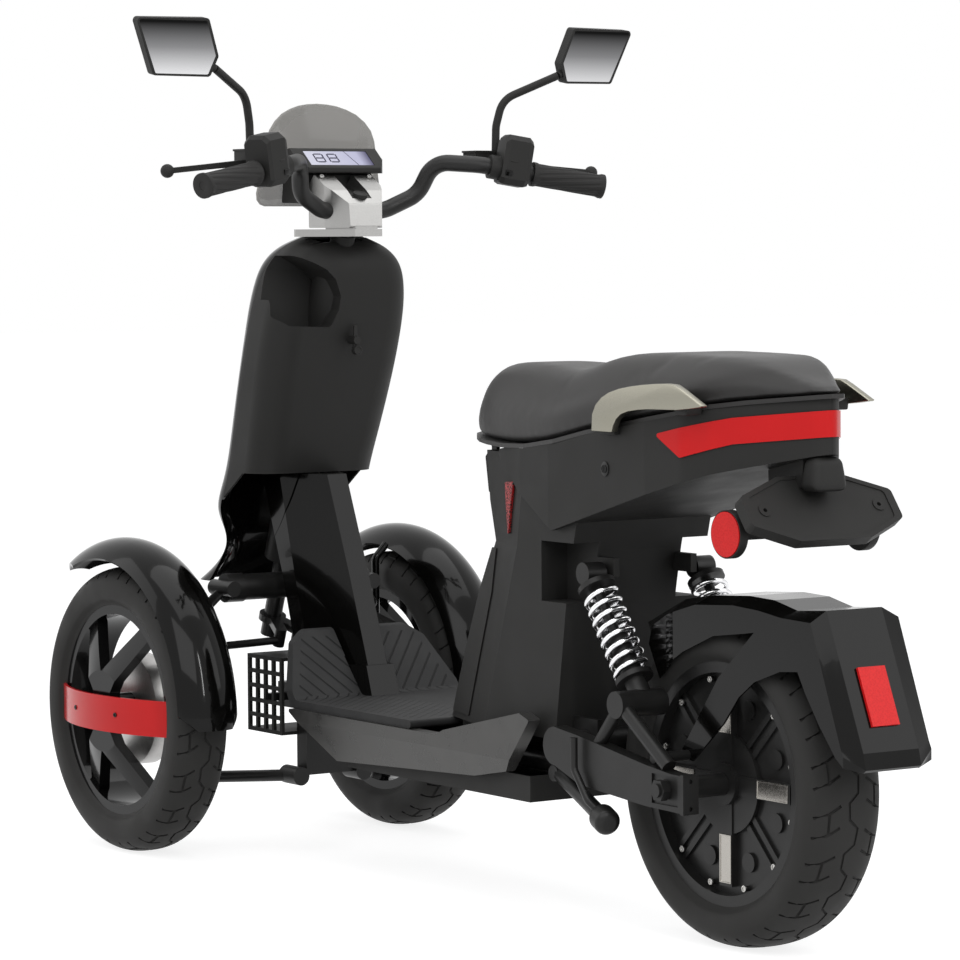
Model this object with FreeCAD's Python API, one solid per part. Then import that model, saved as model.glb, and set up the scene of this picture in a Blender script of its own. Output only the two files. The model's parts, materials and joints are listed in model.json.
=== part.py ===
import FreeCAD
import Part

import math
import os

os.makedirs("parts", exist_ok=True)

# Three-wheeled electric scooter: two steered front wheels, one driven rear wheel.
# Millimetres, +X forward, +Y to the rider's left, +Z up.
# Places along X are measured from the rear axle. The last step moves the origin to the
# floor under the middle of the vehicle.

# Vehicle
wheelbase = 1217.0
front_track = 474.0
wheel_radius = 217.5
rear_overhang = 298.0
rake_angle = 20.0
steering_trail = 113.0
fit_gap = 0.3
running_gap = 0.05
overrun = 3.0
corner_limit_share = 0.45
straight_angle = math.radians(179.5)

# Tyres and rims
bead_seat_radius = 152.4
rim_flange_radius = 165.0
rim_wall = 6.0
rim_lip = 3.0
front_rim_half_width = 30.0
front_tyre_half_width = 46.0
rear_rim_half_width = 43.0
rear_tyre_half_width = 60.0
bulge_height_share = 0.52
shoulder_height_share = 0.80
shoulder_width_share = 0.84

# Front wheel face, measured outboard from the wheel's middle plane
dish_rim_face = 27.0
dish_hub_face = 60.0
dish_hub_radius = 62.0
dish_thickness = 18.0
spoke_stem_half_width = 26.0
spoke_crotch_height = 60.0
spoke_shoulder_height = 30.0
spoke_prong_width = 34.0
spoke_prong_spread = 84.0
front_hub_radius = 26.0
front_hub_inner_face = 38.0
drum_radius = 85.0
drum_inner_face = 20.0
drum_outer_face = 12.0
axle_radius = 9.0
band_half_height = 27.0
band_thickness = 5.0
band_half_length = 160.0
band_bulge = 38.0

# Rear wheel
motor_face = 30.0
motor_disc_radius = 66.0
motor_disc_height = 7.0
motor_spoke_width = 26.0
motor_spoke_height = 9.0
motor_spoke_reach = 135.0
motor_boss_radius = 28.0
motor_boss_height = 15.0
motor_rib_width = 8.0
motor_rib_height = 4.0
motor_rib_spacing = 16.0
motor_pad_circle = 108.0
motor_pad_radius = 13.0
motor_bolt_radius = 3.6
motor_bolt_circle = 139.0
motor_bolt_height = 5.0
rear_axle_radius = 9.0
rear_axle_half_length = 154.0
axle_nut_across = 26.0
axle_nut_length = 10.3
axle_spacer_radius = 15.0

# Front uprights and leaning linkage
kingpin_half_track = 152.0
upright_radius = 14.0
upright_low_z = 112.0
upright_top_z = 322.0
ball_radius = 13.0
steer_arm_length = 54.0
steer_arm_z = 345.0
steer_arm_thickness = 10.0
tie_rod_radius = 6.0
tie_eye_radius = 9.0
tie_pin_radius = 4.0
tie_gap = 0.2
pitman_half_spacing = 16.0
pitman_hub_radius = 21.0
upper_arm_x = 1137.0
upper_arm_z = 401.0
upper_arm_radius = 20.0
upper_boss_radius = 18.0
clevis_length = 30.0
clevis_lip = 2.0
clevis_radius = 12.0
upper_arm_half_span = 126.0
link_radius = 8.0
lower_pivot_x = 1052.0
lower_pivot_y = 42.0
lower_pivot_z = 118.0
lower_pivot_radius = 14.0
lower_pivot_length = 44.0
lower_arm_radius = 9.0
joint_gap = 5.0

# Front fenders, about the front axle
front_fender_radius = 262.0
front_fender_drop = 30.0
front_fender_half_width = 51.0
front_fender_offset = 9.0
front_fender_wall = 3.0
front_fender_front_angle = 38.0
front_fender_rear_angle = 92.0
fender_stay_radius = 6.0
fender_corner_cuts = [(38.0, 70.0, 34.0), (-92.0, 24.0, 22.0)]

# Frame
head_tube_radius = 30.0
head_tube_top_z = 880.0
head_tube_low_z = 440.0
down_tube_radius = 22.0
down_tube_top_z = 560.0
down_tube_foot_x = 985.0
rail_z = 214.0
rail_radius = 14.0
rail_half_spacing = 74.0
rail_rear_x = 232.0
front_beam_x = 1150.0
front_beam_half_width = 24.0
front_beam_half_height = 19.0
front_beam_z = 232.0
pivot_plate_x = 246.0
pivot_plate_z = 250.0
pivot_plate_thickness = 8.0
pivot_plate_half_size = 34.0
pivot_plate_front_x = 274.0
box_beams = [(350.0, 253.0), (550.0, 253.0)]
floor_beams = [(700.0, 240.0), (850.0, 240.0)]

# Grid cover between the front wheels
grid_front_x = 1164.0
grid_rear_x = 1064.0
grid_low_z = 178.0
grid_top_z = 296.0
grid_half_width = 70.0
grid_wall = 5.0
grid_rib = 6.0
grid_columns = 4
grid_rows = 5

# Front shield and inner leg panel
leg_base_z = 405.0
leg_height = 530.0
leg_depth = 140.0
leg_rear_share = 0.4
leg_half_width = 120.0
leg_corner = 46.0
leg_wall = 4.0
leg_seam = 33.0
leg_section_shares = [
    (0.00, -0.43, 0.74, 0.84),
    (0.22, -0.44, 0.58, 0.88),
    (0.30, -0.44, 0.54, 0.90),
    (0.42, -0.43, 0.50, 0.93),
    (0.56, -0.42, 0.48, 0.98),
    (0.74, -0.40, 0.50, 1.00),
    (0.86, -0.36, 0.56, 0.95),
    (0.93, -0.28, 0.58, 0.85),
    (0.975, -0.12, 0.52, 0.66),
    (1.00, 0.02, 0.42, 0.42),
]
panel_bottom_z = 577.0
panel_bottom_front_x = 1110.0
panel_tip_x = 1174.0
panel_tip_z = 533.0
shield_bay_x = 1226.0
shield_bay_z = 446.0
pocket_outline = [(117.0, 897.0), (104.0, 907.0), (90.0, 907.0), (46.0, 886.0), (29.0, 871.0), (17.0, 846.0),
                  (17.0, 826.0),
                  (27.0, 799.0), (97.0, 802.0), (117.0, 815.0)]
pocket_depth = 74.0
pocket_corner = 8.0
hook_z = 779.0
hook_y = -12.0
hook_length = 20.0
hook_radius = 6.0

# Column cover and its boot
column_half_width = 50.0
column_rear_half_width = 17.0
column_stations = [
    (576.0, 1013.0, 1098.0, 1150.0),
    (425.0, 951.0, 1056.0, 1092.0),
    (300.0, 904.0, 1015.0, 1052.0),
    (252.0, 888.0, 1000.0, 1040.0),
]
boot_height = 44.0
boot_margin = 7.0

# Floor
floor_top_z = 252.0
floor_thickness = 12.0
floor_half_width = 146.0
floor_rear_x = 590.0
floor_front_x = 900.0
wing_top_x = 966.0
wing_top_z = 349.0
wing_shoulder_z = 331.0
wing_shoulder_y = 116.0
wing_top_y = 88.0
skirt_outline = [(918.0, 239.7), (518.0, 239.7), (498.0, 248.0), (312.0, 289.0), (288.0, 281.0),
                 (350.0, 205.0), (434.0, 190.0), (799.0, 172.0)]
skirt_thickness = 20.0
skirt_half_width = 152.0
skirt_crease_front_z = 222.0
skirt_crease_rear_z = 222.0
skirt_bevel_depth = 14.0
tray_front_x = 785.0
tray_rear_x = 320.0
tray_low_z = 164.0
tray_half_width = 128.0

# Battery box, which carries the seat
box_half_width = 113.0
box_stations = [
    (253.0, 597.0, 453.0, 281.0),
    (290.0, 583.0, 441.0, 276.0),
    (435.0, 523.0, 394.0, 255.0),
    (510.0, 484.0, 370.0, 240.0),
    (566.0, 498.0, 362.0, 225.0),
    (636.0, 505.0, 350.0, 200.0),
]
box_nose_half_width = 70.0
slot_inner_y = 70.0
slot_low_z = 440.0
slot_top_z = 522.0
slot_depth_x = 312.0
bay_front_x = 460.0
bay_rear_x = 330.0
bay_floor_z = 330.0
bay_half_width = 60.0
ridge_outline = [(590.0, 262.0), (530.0, 440.0), (500.0, 500.0), (470.0, 500.0), (466.0, 440.0), (520.0, 262.0)]
ridge_inner_y = 62.0
ridge_proud = 2.0

# Tail covers
tail_belt = [(461.0, 638.0), (274.0, 538.0), (114.0, 582.0), (-60.0, 630.0), (-186.0, 658.0)]
tail_front_x = 470.0
tail_plan = [(470.0, 84.0), (360.0, 116.0), (280.0, 124.0), (60.0, 125.0), (-10.0, 117.0), (-50.0, 101.0),
             (-95.0, 72.0), (-135.0, 42.0), (-165.0, 18.0), (-176.0, 0.0)]
tail_wall = 4.0
band_outline = [(38.0, 677.0), (-9.0, 648.0), (-77.0, 667.0), (-190.0, 679.0), (-190.0, 713.0), (-77.0, 701.0)]
band_proud = 3.0
undertail_thickness = 4.0
nose_outline = [(536.0, 634.0), (546.0, 624.0), (538.0, 575.0), (480.0, 548.0), (480.0, 634.0)]
nose_half_width = 45.0
insert_outline = [(420.0, 596.0), (386.0, 598.0), (406.0, 520.0)]
insert_thickness = 4.0

# Seat
seat_sections = [
    (590.0, 20.0, 652.0, 684.0),
    (582.0, 36.0, 650.0, 700.0),
    (562.0, 50.0, 648.0, 722.0),
    (530.0, 68.0, 646.0, 742.0),
    (480.0, 90.0, 645.0, 755.0),
    (420.0, 108.0, 644.0, 758.0),
    (350.0, 120.0, 646.0, 755.0),
    (268.0, 129.0, 656.0, 754.0),
    (193.0, 128.0, 671.0, 770.0),
    (60.0, 124.0, 693.0, 778.0),
    (-10.0, 120.0, 704.0, 777.0),
    (-50.0, 106.0, 712.0, 776.0),
    (-95.0, 78.0, 718.0, 768.0),
    (-135.0, 50.0, 722.0, 752.0),
    (-165.0, 28.0, 725.0, 742.0),
    (-185.0, 10.0, 727.0, 734.0),
]
seat_base_thickness = 6.0
seat_base_width_share = 0.97
seat_edge_share = 0.42
seat_top_share = 0.66
seat_hinge_x = 548.0
seat_hinge_z = 645.0
hinge_lug_y = 24.0
hinge_lug_width = 6.0
hinge_lug_radius = 8.0
hinge_lug_drop = 20.0
hinge_lug_front_share = 0.5
hinge_eye_y = 10.0
hinge_pin_radius = 3.0

# Grab rails
rail_top_line = [(155.0, 676.0), (146.0, 699.0), (124.0, 717.0), (92.0, 730.0), (48.0, 739.0), (5.0, 742.0),
                 (-27.0, 741.0), (-59.0, 735.0), (-84.0, 728.0), (-103.0, 720.0)]
rail_low_line = [(137.0, 676.0), (119.0, 693.0), (88.0, 706.0), (48.0, 711.0), (5.0, 714.0),
                 (-80.0, 714.0), (-99.0, 719.0)]
rail_inner_y = 133.0
rail_outer_y = 143.0
rail_foot_outline = [(155.0, 680.0), (137.0, 680.0), (133.0, 655.0), (152.0, 655.0)]
rail_foot_y = 125.0
rail_stay = (-40.0, -20.0, 698.0, 716.0)
rail_stay_y = 113.3

# Plate holder and lamps
holder_outline = [(123.0, -22.0), (123.0, 22.0), (53.0, 49.0), (-53.0, 49.0), (-123.0, 22.0),
                  (-123.0, -22.0), (-58.0, -49.0), (58.0, -49.0)]
holder_x = -154.0
holder_thickness = 17.0
holder_face_share = 0.9
holder_tilt = 37.0
holder_screw_y = 93.0
holder_screw_radius = 3.0
holder_middle_z = 587.0
holder_arm_z = 612.0
holder_arm_x = -70.0
holder_arm_half_width = 22.0
lamp_cup_radius = 20.0
lamp_cup_z = 627.0
lamp_cup_height = 30.0
lamp_cup_x = -141.0
reflector_radius = 29.0
reflector_thickness = 8.0
reflector_x = -100.0
reflector_y = 108.0
reflector_z = 554.0

# Swingarm, shocks and stand
arm_y = 129.0
arm_inner_y = 118.0
arm_outer_y = 140.0
arm_outline = [(246.0, 276.0), (188.0, 269.0), (39.0, 246.0), (-12.0, 240.0), (-40.0, 239.0),
               (-40.0, 190.0), (-12.0, 191.0), (40.0, 192.0), (188.0, 204.0), (246.0, 224.0)]
arm_end_radius = 26.0
arm_slot = (-30.0, 26.0, 198.0, 237.0)
arm_end_x = -41.0
arm_end_z = (189.0, 241.0)
arm_end_holes = (232.0, 196.0)
arm_barrel_inner_y = 64.0
arm_boss_radius = 18.0
truss_feet = [(156.0, 262.0), (3.0, 246.0)]
truss_radii = (9.0, 10.0)
gusset_outline = [(104.0, 305.0), (62.0, 300.0), (58.0, 276.0), (84.0, 288.0)]
shock_low = (107.0, 92.0, 318.0)
shock_top = (225.0, 92.0, 482.0)
shock_body_radius = 15.0
shock_body_share = 0.5
shock_cup_thickness = 7.0
spring_low = 41.0
spring_top = 177.0
shock_rod_radius = 7.0
spring_radius = 22.5
spring_wire_radius = 3.6
spring_turns = 8
shock_eye_radius = 15.0
shock_tower = (205.0, 312.0, 60.0, 70.0, 477.0, 502.0)
stand_pivot = (290.0, 100.0, 206.0)
stand_tip = (142.0, 132.0, 162.0)
stand_radius = 11.0
stand_pin_radius = 5.0
stand_foot_radius = 18.0
stand_foot_length = 34.0
kick_points = [(186.0, 150.0, 268.0), (186.0, 150.0, 226.0), (160.0, 146.0, 186.0), (146.0, 131.0, 166.0)]
kick_radius = 5.0

# Rear fender
rear_fender_half_width = 72.0
rear_fender_wall = 3.0
rear_fender_ridge_y = 45.0
rear_fender_side = [
    (127.0, 393.0), (105.0, 347.0), (83.0, 370.0), (49.0, 389.0), (-17.0, 415.0), (-82.0, 423.0),
    (-103.0, 426.0), (-28.0, 362.0), (50.0, 261.0), (44.0, 250.0), (27.0, 247.0), (-39.0, 303.0),
    (-71.0, 340.0), (-103.0, 362.0), (-156.0, 380.0), (-192.0, 383.0), (-207.0, 358.0), (-233.0, 322.0),
    (-268.0, 281.0), (-283.0, 270.0), (-283.0, 284.0), (-278.0, 294.0), (-218.0, 447.0), (-159.0, 449.0),
    (-112.0, 455.0), (-59.0, 458.0), (22.0, 453.0), (77.0, 438.0), (112.0, 417.0),
]
rear_fender_crown = [
    (150.0, 392.0), (120.0, 350.0), (83.0, 370.0), (49.0, 389.0), (-17.0, 415.0), (-82.0, 423.0),
    (-103.0, 426.0), (-28.0, 362.0), (50.0, 261.0), (44.0, 250.0), (27.0, 247.0), (-39.0, 303.0),
    (-71.0, 340.0), (-103.0, 362.0), (-156.0, 380.0), (-192.0, 383.0), (-207.0, 358.0), (-233.0, 322.0),
    (-268.0, 281.0), (-290.0, 262.0), (-295.0, 266.0), (-290.0, 287.0), (-217.0, 461.0), (-159.0, 457.0),
    (-112.0, 467.0), (-59.0, 469.0), (22.0, 464.0), (77.0, 455.0), (161.0, 418.0),
]
hollow_crown = [(175.0, 300.0), (172.0, 385.0), (164.0, 413.0), (77.0, 451.0), (22.0, 460.0), (-59.0, 465.0),
                (-112.0, 463.0), (-159.0, 453.0), (-213.0, 456.0), (-286.0, 286.0), (-291.0, 262.0),
                (-200.0, 150.0)]
hollow_side = [(175.0, 300.0), (124.0, 391.0), (110.0, 413.0), (76.0, 435.0), (22.0, 450.0), (-59.0, 455.0),
               (-112.0, 452.0), (-159.0, 446.0), (-214.0, 443.0), (-274.0, 294.0), (-279.0, 270.0),
               (-200.0, 150.0)]
hollow_ridge_y = 43.0
rear_fender_plan = [(175.0, 64.5), (95.0, 64.5), (70.0, 72.0), (-300.0, 72.0)]
flap_top_corner = 22
flap_low_corner = 21
rear_reflector_share = 0.62
fender_boss_x = 38.0
fender_boss_z = 254.0
fender_boss_radius = 7.0
rear_reflector_half_width = 22.0
rear_reflector_height = 78.0

# Handlebar and controls
bar_radius = 12.5
bar_points = [(962.0, 0.0, 972.0), (960.0, 56.0, 974.0), (942.0, 104.0, 998.0), (920.0, 118.0, 1046.0),
              (866.0, 166.0, 1041.0), (809.0, 344.0, 1009.0)]
bar_bend = 40.0
grip_radius = 16.5
grip_length = 116.0
switch_length = 44.0
switch_bevel_share = 0.9
switch_outline = [(-24.0, -44.0), (-24.0, 14.0), (-14.0, 23.0), (14.0, 23.0), (24.0, 14.0), (24.0, -44.0),
                 (14.0, -52.0), (-14.0, -52.0)]
lever_pivot = (905.0, 190.0, 1046.0)
lever_tip = (868.0, 372.0, 1030.0)
lever_sections = [(0.0, 13.0, 5.0), (0.12, 9.0, 4.5), (0.6, 7.0, 4.0), (0.99, 6.0, 4.0)]
lever_ball_radius = 10.0
lever_clamp_width = 15.0
lever_clamp_radius = 18.0
reservoir_size = 34.0
reservoir_length = 56.0
clamp_half_width = 50.0
clamp_base_plan = [(918.0, 24.0), (951.0, 45.0), (1000.0, 76.0), (1006.0, 76.0)]
clamp_base_z = 935.0
clamp_base_thickness = 11.0
clamp_groove = 2.0
clamp_body_plan = [(918.0, 24.0), (951.0, 45.0), (962.0, 50.0), (1006.0, 50.0)]
clamp_outline = [(924.0, 948.0), (1006.0, 948.0), (1006.0, 1012.0), (990.0, 1028.0), (950.0, 1004.0),
                 (926.0, 984.0)]
clamp_channel = [(915.0, 986.0), (950.0, 996.0), (1010.0, 1008.0), (1010.0, 1040.0), (915.0, 1040.0)]
clamp_channel_half_width = 17.0
stem_top_z = 965.0
stem_radius = 14.0
stem_low_z = 318.0
steer_limit = 20.0
steer_step_shares = (-1.0, -0.5, 0.0, 0.5, 1.0)
mirror_corners = [(836.0, 319.0, 1247.0), (844.0, 434.0, 1246.0), (843.0, 402.0, 1163.0),
                  (849.0, 311.0, 1164.0), (836.0, 300.0, 1192.0)]
mirror_depth = 16.0
mirror_inset = 5.0
mirror_glass_thickness = 2.0
mirror_stem = [(898.0, 216.0, 1063.3), (898.0, 217.0, 1100.0), (893.0, 226.0, 1140.0), (853.0, 300.0, 1176.0)]
mirror_stem_radius = 6.0
display_outline = [(982.0, 1030.0), (982.0, 1038.0), (1018.0, 1068.0), (1046.0, 1058.0), (1046.0, 1030.0)]
display_half_width = 76.0
display_plan = [(975.0, 58.0), (997.0, 76.0), (1030.0, 76.0), (1050.0, 56.0)]
screen_half_width = 56.0
screen_height = 34.0
screen_depth = 2.0
lamp_outline = [(1006.3, 985.0), (1064.0, 986.0), (1058.0, 1029.7), (1006.3, 1029.7)]
lamp_half_width = 62.0
visor_outline = [(80.0, 985.0), (88.0, 1000.0), (91.0, 1050.0), (92.0, 1095.0), (80.0, 1120.0), (50.0, 1134.0),
                 (20.0, 1136.0)]
visor_lean = 0.16
visor_foot_x = 1239.6
visor_bend_radius = 250.0
visor_thickness = 3.0
visor_post_y = 45.0
visor_post_z = 1005.0


# Shape helpers

def vec(x, y, z):
    return FreeCAD.Vector(x, y, z)


origin = vec(0, 0, 0)
x_axis = vec(1, 0, 0)
y_axis = vec(0, 1, 0)
z_axis = vec(0, 0, 1)


def block(x0, x1, y0, y1, z0, z1):
    return Part.makeBox(x1 - x0, y1 - y0, z1 - z0, vec(x0, y0, z0))


def rod(start, end, radius):
    """A straight round bar between two points."""
    return Part.makeCylinder(radius, (end - start).Length, start, end - start)


def rounded(points, radius, closed=True):
    """Straight runs through the points, joined by tangent arcs."""
    corners = []
    for i, here in enumerate(points):
        if not closed and i in (0, len(points) - 1):
            corners.append((here, None, here))
            continue
        before = points[i - 1] - here
        after = points[(i + 1) % len(points)] - here
        if before.getAngle(after) > straight_angle:
            corners.append((here, None, here))
            continue
        half = before.getAngle(after) / 2
        reach = min(radius / math.tan(half), corner_limit_share * min(before.Length, after.Length))
        bend = reach * math.tan(half)
        before.normalize()
        after.normalize()
        inward = before + after
        inward.normalize()
        corners.append((here + before * reach, here + inward * (bend / math.sin(half) - bend),
                        here + after * reach))
    edges = []
    count = len(points) if closed else len(points) - 1
    for i in range(count):
        start, middle, end = corners[i]
        if middle is not None:
            edges.append(Part.Arc(start, middle, end).toShape())
        following = corners[(i + 1) % len(points)][0]
        edges.append(Part.makeLine(end, following))
    return Part.Wire(edges)


def side_plate(outline, y0, y1, corner):
    """A plate with a side outline of (x, z) points, from y0 to y1."""
    wire = rounded([vec(x, y0, z) for x, z in outline], corner)
    return Part.Face(wire).extrude(vec(0, y1 - y0, 0))


def bent_bar(points, radius, bend):
    """A round bar along straight runs and tangent arcs."""
    path = rounded([vec(*p) for p in points], bend, closed=False)
    first = vec(*points[0])
    heading = vec(*points[1]) - first
    circle = Part.Wire(Part.makeCircle(radius, first, heading))
    return path.makePipeShell([circle], True, False)


def turned(profile, centre):
    """A ring turned about the line along Y through the centre, from (y, radius) edges."""
    return Part.Face(profile).revolve(centre, y_axis, 360)


def polygon_yr(points):
    loop = [vec(0, y, r) for y, r in points]
    return Part.makePolygon(loop + [loop[0]])


def mirrored(shape):
    return shape.mirror(origin, y_axis)


def both_sides(shape):
    """The left piece and its mirror image, as two solids of one node."""
    return Part.makeCompound([shape, mirrored(shape)])


def fused(*shapes):
    whole = shapes[0].fuse(list(shapes[1:])) if len(shapes) > 1 else shapes[0]
    return whole.removeSplitter()


rake = math.radians(rake_angle)
axis_up = vec(-math.sin(rake), 0, math.cos(rake))
arm_back = vec(-math.cos(rake), 0, -math.sin(rake))
rear_axle = vec(0, 0, wheel_radius)


def steering_point(z):
    """The point of the steering axis at a height."""
    return vec(wheelbase + steering_trail - z * math.tan(rake), 0, z)


def kingpin_point(z):
    """The point of the left kingpin axis at a height; it passes over the wheel's centre."""
    return vec(wheelbase - (z - wheel_radius) * math.tan(rake), kingpin_half_track, z)


# Wheels

def tyre(half_width, rim_half_width):
    height = wheel_radius - bead_seat_radius
    bulge = vec(0, half_width, bead_seat_radius + height * bulge_height_share)
    shoulder_y = half_width * shoulder_width_share
    shoulder_r = bead_seat_radius + height * shoulder_height_share
    seat = [vec(0, side * rim_half_width, bead_seat_radius) for side in (-1, 1)]
    flange = [vec(0, side * rim_half_width, rim_flange_radius) for side in (-1, 1)]
    shoulder = [vec(0, side * shoulder_y, shoulder_r) for side in (-1, 1)]
    crown = vec(0, 0, wheel_radius)
    profile = Part.Wire([
        Part.makeLine(seat[0], seat[1]),
        Part.makeLine(seat[1], flange[1]),
        Part.Arc(flange[1], bulge, shoulder[1]).toShape(),
        Part.Arc(shoulder[1], crown, shoulder[0]).toShape(),
        Part.Arc(shoulder[0], vec(0, -bulge.y, bulge.z), flange[0]).toShape(),
        Part.makeLine(flange[0], seat[0]),
    ])
    return turned(profile, origin)


def rim_barrel(half_width):
    lip = half_width + rim_lip
    inner = bead_seat_radius - rim_wall
    points = [(-half_width, rim_flange_radius), (-half_width, bead_seat_radius), (half_width, bead_seat_radius),
              (half_width, rim_flange_radius), (lip, rim_flange_radius), (lip, inner), (-lip, inner),
              (-lip, rim_flange_radius)]
    return turned(polygon_yr(points), origin)


def dish(outer_radius):
    """The cone-shaped body from which the front wheel's spokes are cut."""
    rim_back = dish_rim_face - dish_thickness
    hub_back = dish_hub_face - dish_thickness
    points = [(hub_back, 0), (dish_hub_face, 0), (dish_hub_face, dish_hub_radius),
              (dish_rim_face, outer_radius),
              (rim_back, outer_radius), (hub_back, dish_hub_radius)]
    return turned(polygon_yr(points), origin)


def spoke_outline(up):
    """One Y-shaped spoke, seen along the axle; up is 1 or -1."""
    reach = bead_seat_radius - rim_wall
    stem = spoke_stem_half_width
    outline = [(-stem, 0), (-stem, up * spoke_shoulder_height)]
    outline += [(-spoke_prong_spread - spoke_prong_width, up * reach), (-spoke_prong_spread, up * reach)]
    outline += [(0, up * spoke_crotch_height)]
    outline += [(spoke_prong_spread, up * reach), (spoke_prong_spread + spoke_prong_width, up * reach)]
    outline += [(stem, up * spoke_shoulder_height), (stem, 0)]
    return outline


def front_rim():
    inner = bead_seat_radius - rim_wall
    barrel = rim_barrel(front_rim_half_width)
    cone = dish(inner + rim_wall / 2)
    spokes = [side_plate(spoke_outline(up), -wheel_radius, wheel_radius, rim_lip).common(cone) for up in (1,
                                                                                                          -1)]
    hub = rod(vec(0, -front_hub_inner_face, 0), vec(0, dish_hub_face, 0), front_hub_radius)
    drum = rod(vec(0, -drum_inner_face, 0), vec(0, drum_outer_face, 0), drum_radius)
    bore = rod(vec(0, -front_hub_inner_face - overrun, 0), vec(0, dish_hub_face - dish_thickness, 0),
               axle_radius + running_gap)
    rim = fused(barrel, hub, *spokes).cut(bore)
    collar = rod(vec(0, -drum_inner_face - overrun, 0), vec(0, drum_outer_face + overrun, 0), front_hub_radius)
    return rim, drum.cut(collar)


def front_band():
    """The bowed cover strip across the front wheel, seated on the rim's outer lip."""
    face = front_rim_half_width + rim_lip
    start = vec(band_half_length, face, -band_half_height)
    middle = vec(0, face + band_bulge, -band_half_height)
    end = vec(-band_half_length, face, -band_half_height)
    out = vec(0, band_thickness, 0)
    wire = Part.Wire([
        Part.Arc(start, middle, end).toShape(),
        Part.makeLine(end, end + out),
        Part.Arc(end + out, middle + out, start + out).toShape(),
        Part.makeLine(start + out, start),
    ])
    return Part.Face(wire).extrude(vec(0, 0, 2 * band_half_height))


def on_face(side, low, high, centre, radius):
    """A disc standing on the motor's cover, between two heights over it."""
    y0, y1 = [side * (motor_face + height) for height in (low, high)]
    return rod(vec(centre.x, y0, centre.z), vec(centre.x, y1, centre.z), radius)


def around(radius, degrees):
    turn = math.radians(degrees)
    return vec(radius * math.cos(turn), 0, radius * math.sin(turn))


def rear_motor():
    """Hub motor with its covers, cast spokes, pads and bolts, fused to the rim."""
    inner = bead_seat_radius - rim_wall
    body = rod(vec(0, -motor_face, 0), vec(0, motor_face, 0), inner + rim_wall / 2)
    pieces = [rim_barrel(rear_rim_half_width), body]
    for side in (1, -1):
        pieces.append(on_face(side, -overrun, motor_disc_height, origin, motor_disc_radius))
        pieces.append(on_face(side, 0, motor_boss_height, origin, motor_boss_radius))
        low, high = sorted((side * (motor_face - overrun), side * (motor_face + motor_spoke_height)))
        spoke = block(motor_boss_radius / 2, motor_spoke_reach, low, high, -motor_spoke_width / 2,
                      motor_spoke_width / 2)
        low, high = sorted((side * (motor_face - overrun), side * (motor_face + motor_rib_height)))
        ribs = [block(motor_disc_radius - overrun, inner, low, high, z - motor_rib_width / 2,
                      z + motor_rib_width / 2)
                for z in (-motor_rib_spacing / 2, motor_rib_spacing / 2)]
        for quarter in range(4):
            turn = 90 * quarter
            pieces.append(spoke.rotated(origin, y_axis, turn))
            pieces += [rib.rotated(origin, y_axis, turn + 45) for rib in ribs]
        for eighth in range(8):
            place = around(motor_pad_circle, 22.5 + 45 * eighth)
            pieces.append(on_face(side, -overrun, motor_rib_height, place, motor_pad_radius))
        for twelfth in range(12):
            place = around(motor_bolt_circle, 15 + 30 * twelfth)
            pieces.append(on_face(side, -overrun, motor_bolt_height, place, motor_bolt_radius))
    bore = rod(vec(0, -wheel_radius, 0), vec(0, wheel_radius, 0), rear_axle_radius + running_gap)
    return fused(*pieces).cut(bore)


# Chassis pieces

def main_frame():
    head = rod(steering_point(head_tube_low_z), steering_point(head_tube_top_z), head_tube_radius)
    foot = vec(down_tube_foot_x, 0, rail_z)
    down = rod(foot, steering_point(down_tube_top_z), down_tube_radius)
    beam = block(down_tube_foot_x - down_tube_radius, front_beam_x, -front_beam_half_width,
                 front_beam_half_width,
                 front_beam_z - front_beam_half_height, front_beam_z + front_beam_half_height)
    tilt_boss = rod(vec(down_tube_foot_x + down_tube_radius, 0, upper_arm_z), vec(upper_arm_x, 0, upper_arm_z),
                    upper_boss_radius)
    hanger = block(lower_pivot_x - lower_pivot_radius, lower_pivot_x + lower_pivot_radius, -lower_pivot_y,
                   lower_pivot_y,
                   lower_pivot_z, front_beam_z)
    pieces = [head, down, beam, tilt_boss, hanger]
    for side in (1, -1):
        y = side * rail_half_spacing
        pieces.append(rod(vec(rail_rear_x, y, rail_z), vec(down_tube_foot_x, y, rail_z), rail_radius))
    for x in (down_tube_foot_x, rail_rear_x):
        pieces.append(rod(vec(x, -rail_half_spacing, rail_z), vec(x, rail_half_spacing, rail_z), rail_radius))
    for side in (1, -1):
        inner = rail_half_spacing + rail_radius - pivot_plate_thickness
        low, high = sorted((side * inner, side * (inner + pivot_plate_thickness)))
        plate = block(rail_rear_x - rail_radius, pivot_plate_front_x, low, high, rail_z - rail_radius,
                      pivot_plate_z + pivot_plate_half_size)
        hole = rod(vec(pivot_plate_x, -wheelbase, pivot_plate_z), vec(pivot_plate_x, wheelbase, pivot_plate_z),
                   arm_boss_radius + fit_gap)
        pieces.append(plate.cut(hole))
    for x, top in box_beams + floor_beams:
        pieces.append(block(x - rail_radius, x + rail_radius, -rail_half_spacing, rail_half_spacing, rail_z,
                            top - fit_gap))
    pivot = vec(*stand_pivot)
    pieces.append(rod(vec(pivot.x, inner, pivot.z), vec(pivot.x, pivot.y + stand_radius, pivot.z),
                      stand_pin_radius))
    spacer_x = (grid_front_x + grid_rear_x) / 2
    spacer_y = grid_half_width - grid_wall - fit_gap
    pieces.append(block(spacer_x - grid_rib, spacer_x + grid_rib, -spacer_y, spacer_y, front_beam_z - grid_rib,
                        front_beam_z + grid_rib))
    shaft = rod(steering_point(stem_low_z), steering_point(head_tube_top_z + wheel_radius),
                stem_radius + running_gap)
    return fused(*pieces).cut(shaft)


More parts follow.
